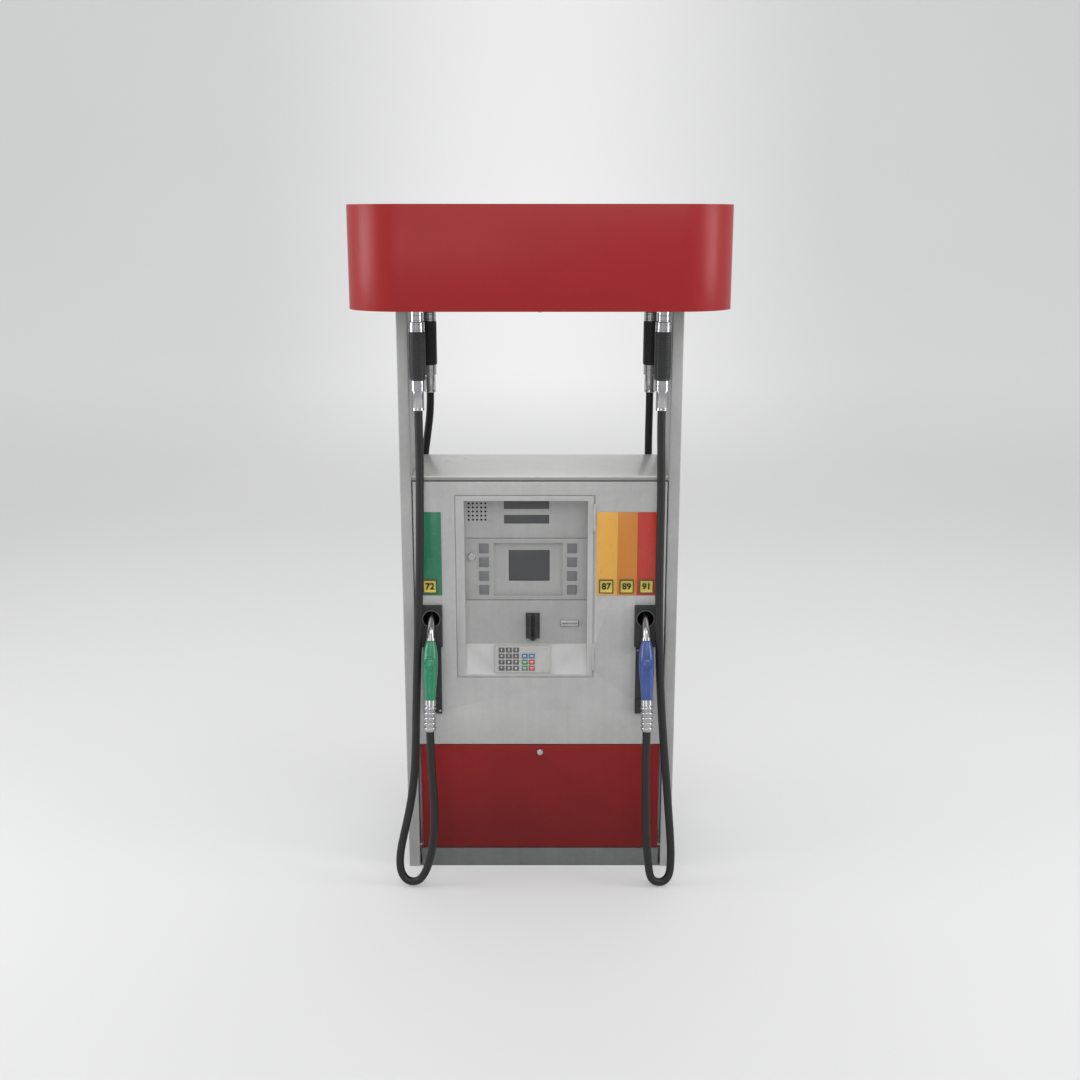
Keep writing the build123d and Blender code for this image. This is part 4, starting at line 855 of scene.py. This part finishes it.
def cover_shell():
    deselect()
    bpy.ops.mesh.primitive_circle_add(vertices=44, radius=0.5, fill_type="NGON")
    piece = bpy.context.object
    height, wide, deep = COVER_STATIONS[0]
    piece.scale = (wide * MM, deep * MM, 1)
    piece.location = (0, COVER_CENTRE_Y * MM, height * MM)
    put(piece)
    whole(piece)
    for (z0, w0, d0), (z1, w1, d1) in zip(COVER_STATIONS, COVER_STATIONS[1:]):
        bpy.ops.mesh.extrude_region_move(TRANSFORM_OT_translate={"value": (0, 0, (z1 - z0) * MM)})
        bpy.ops.transform.resize(value=(w1 / w0, d1 / d0, 1), center_override=(0, COVER_CENTRE_Y * MM, z1 * MM))
    bpy.ops.mesh.select_all(action="SELECT")
    bpy.ops.mesh.normals_make_consistent(inside=False)
    bpy.ops.mesh.subdivide(number_cuts=1)
    bpy.ops.mesh.select_all(action="SELECT")
    bpy.ops.mesh.bisect(plane_co=(0, COVER_BACK * MM, 0), plane_no=(0, 1, 0), use_fill=True, clear_outer=True)
    done()
    pick(piece, lambda at, out: out.y < -0.5 and abs(at.x) < 0.0062 and 0.146 < at.z < 0.201)
    bpy.ops.mesh.inset(thickness=0.001, depth=0.0024)
    pick(piece, lambda at, out: out.y < -0.45 and abs(at.x) < 0.0105 and 0.012 < at.z < 0.088)
    bpy.ops.mesh.inset(thickness=0.0012, depth=-0.0012)
    done()
    return piece


POPPET = [(10, 0), (20, 0), (20, 7), (21.6, 7.6), (22, 8.6), (22, 11.4), (21.2, 12.6), (19.6, 13), (18.4, 12.6),
          (17.8, 11.8), (17.2, 11.8), (16.4, 13), (12, 14.3), (6, 15.2), (0.6, 15.4)]
cap = put(turned(POPPET, 40), Matrix.Translation((0, -0.0185, 0.125)) @ QUARTER_TIP)
cover = joined("cover", [cover_shell(), cap])
smooth(cover, 38)


def hung(hand, side):
    """From the nozzle's own frame, z up its body, to its place in the boot."""
    place = Matrix.Translation((NOZZLE_X[hand], *NOZZLE_YZ))
    return SIDES[side] @ place @ Matrix.Rotation(NOZZLE_TILT, 4, "X")


for side in SIDES:
    for hand, slot, finish in (("left", "cover_green", COVER_GREEN), ("right", "cover_blue", COVER_BLUE)):
        nozzle = side + "_" + hand + "_nozzle"
        deliver(twin(cover, "cover_copy", hung(hand, side)), nozzle + "_cover_look", nozzle, finish,
                (nozzle + "_cover",))
bpy.data.objects.remove(cover)
print("nozzle covers made")

# %% [markdown]
# ## Figures
# Buttons and keys are printed. The figures are text turned into very thin plates, which keeps their edges crisp
# from any distance.

# %% Printed figures
def figure(text, high, at, finish, weight=0.0, thick=0.00015):
    """A figure upright in the x-z plane, facing -y, its middle at the given place."""
    deselect()
    bpy.ops.object.text_add()
    piece = bpy.context.object
    piece.data.body, piece.data.size = text, high * 1.38
    piece.data.align_x, piece.data.align_y = "CENTER", "CENTER"
    piece.data.extrude, piece.data.offset = thick, weight
    piece.data.resolution_u = 4
    bpy.ops.object.convert(target="MESH")
    piece = bpy.context.object
    whole(piece)
    bpy.ops.mesh.remove_doubles(threshold=0.000001)
    done()
    piece.data.materials.append(finish.material)
    return put(piece, Matrix.Translation(at) @ QUARTER_TIP)


# %% [markdown]
# ## Grade buttons
# A yellow cap sits in a brown rim, with its number moulded on it.

# %% Numbered buttons
for side, turn in SIDES.items():
    for number in ("72", "87", "89", "91"):
        node = side + "_button_" + number
        button = refined(node, BUTTON_YELLOW, edge=0)
        button.data.materials.append(BUTTON_RIM.material)
        low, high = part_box(node)
        sign = 1 if side == "front" else -1
        face_y = low[1] if side == "front" else high[1]
        pick(button, lambda at, out: abs(at.y - face_y) < 0.00002 and out.y * sign < -0.9999)
        bpy.ops.mesh.inset(thickness=0.0022, depth=0)
        bpy.ops.mesh.inset(thickness=0.0006, depth=-0.0007)
        done()
        for face in button.data.polygons:
            face.material_index = 0 if face.select else 1
        middle = ((low[0] + high[0]) / 2, face_y, (low[2] + high[2]) / 2)
        flat = turn @ Vector(middle)
        digits = figure(number, 0.0225, (flat.x, flat.y + 0.0002, flat.z), FIGURE_BLACK, 0.0009, 0.0007)
        deliver(put(digits, turn), node + "_figure", BODY_OF[node])

# %% [markdown]
# ## The keypad
# The keys lie on the slanted shelf. Digits are dark with pale figures, and the keys at the right are the
# coloured yes, no and help keys with plain bars on them.

# %% Keys
SHELF_FRAME = Matrix.Translation((0, -0.202, 0.792)) @ Matrix.Rotation(-SHELF_TILT, 4, "X")
KEY_COLUMNS = (-0.136, -0.1105, -0.085, -0.054, -0.029)
KEY_PITCH = 0.0214
KEY_FIGURES = ("123", "456", "789", "*0#")
KEY_SHADES = [KEY_BLACK, KEY_BLUE, KEY_GREEN, KEY_RED]


def key_shade(column, row):
    if column < 3:
        return 0
    return 1 if row == 1 else column - 1


def bar(at, wide, high, finish):
    """A printed bar with cut corners, facing -y."""
    deselect()
    bpy.ops.mesh.primitive_plane_add(size=1)
    piece = bpy.context.object
    piece.scale = (wide, high, 1)
    put(piece)
    whole(piece)
    bpy.ops.mesh.bevel(offset=min(wide, high) * 0.3, segments=2, affect="VERTICES")
    bpy.ops.mesh.select_all(action="SELECT")
    bpy.ops.mesh.extrude_region_move(TRANSFORM_OT_translate={"value": (0, 0, 0.0002)})
    bpy.ops.mesh.select_all(action="SELECT")
    bpy.ops.mesh.normals_make_consistent(inside=False)
    done()
    piece.data.materials.append(finish.material)
    return put(piece, Matrix.Translation(at) @ QUARTER_TIP)


for side, turn in SIDES.items():
    node = side + "_keypad_keys"
    keys = refined(node, KEY_BLACK, 0.0012, segments=3)
    for shade in KEY_SHADES[1:]:
        keys.data.materials.append(shade.material)
    to_shelf = (turn @ SHELF_FRAME).inverted()
    key_face = min((to_shelf @ vertex.co).y for vertex in keys.data.vertices)
    for face in keys.data.polygons:
        at = to_shelf @ face.center
        column = min(range(5), key=lambda index: abs(KEY_COLUMNS[index] - at.x))
        face.material_index = key_shade(column, round(1.5 - at.z / KEY_PITCH))
    prints = []
    for column, x in enumerate(KEY_COLUMNS):
        for row in range(0 if column < 3 else 1, 4):
            at = (x, key_face, (1.5 - row) * KEY_PITCH)
            if column < 3:
                prints.append(figure(KEY_FIGURES[row][column], 0.0085, at, FIGURE_WHITE, 0.0002))
            else:
                for lift in (-0.0022, 0.0022):
                    prints.append(bar((at[0], at[1], at[2] + lift), 0.011, 0.0017, FIGURE_WHITE))
    deliver(put(joined("prints", prints), turn @ SHELF_FRAME), side + "_keypad_figures", BODY_OF[node])
print("buttons and keys made")
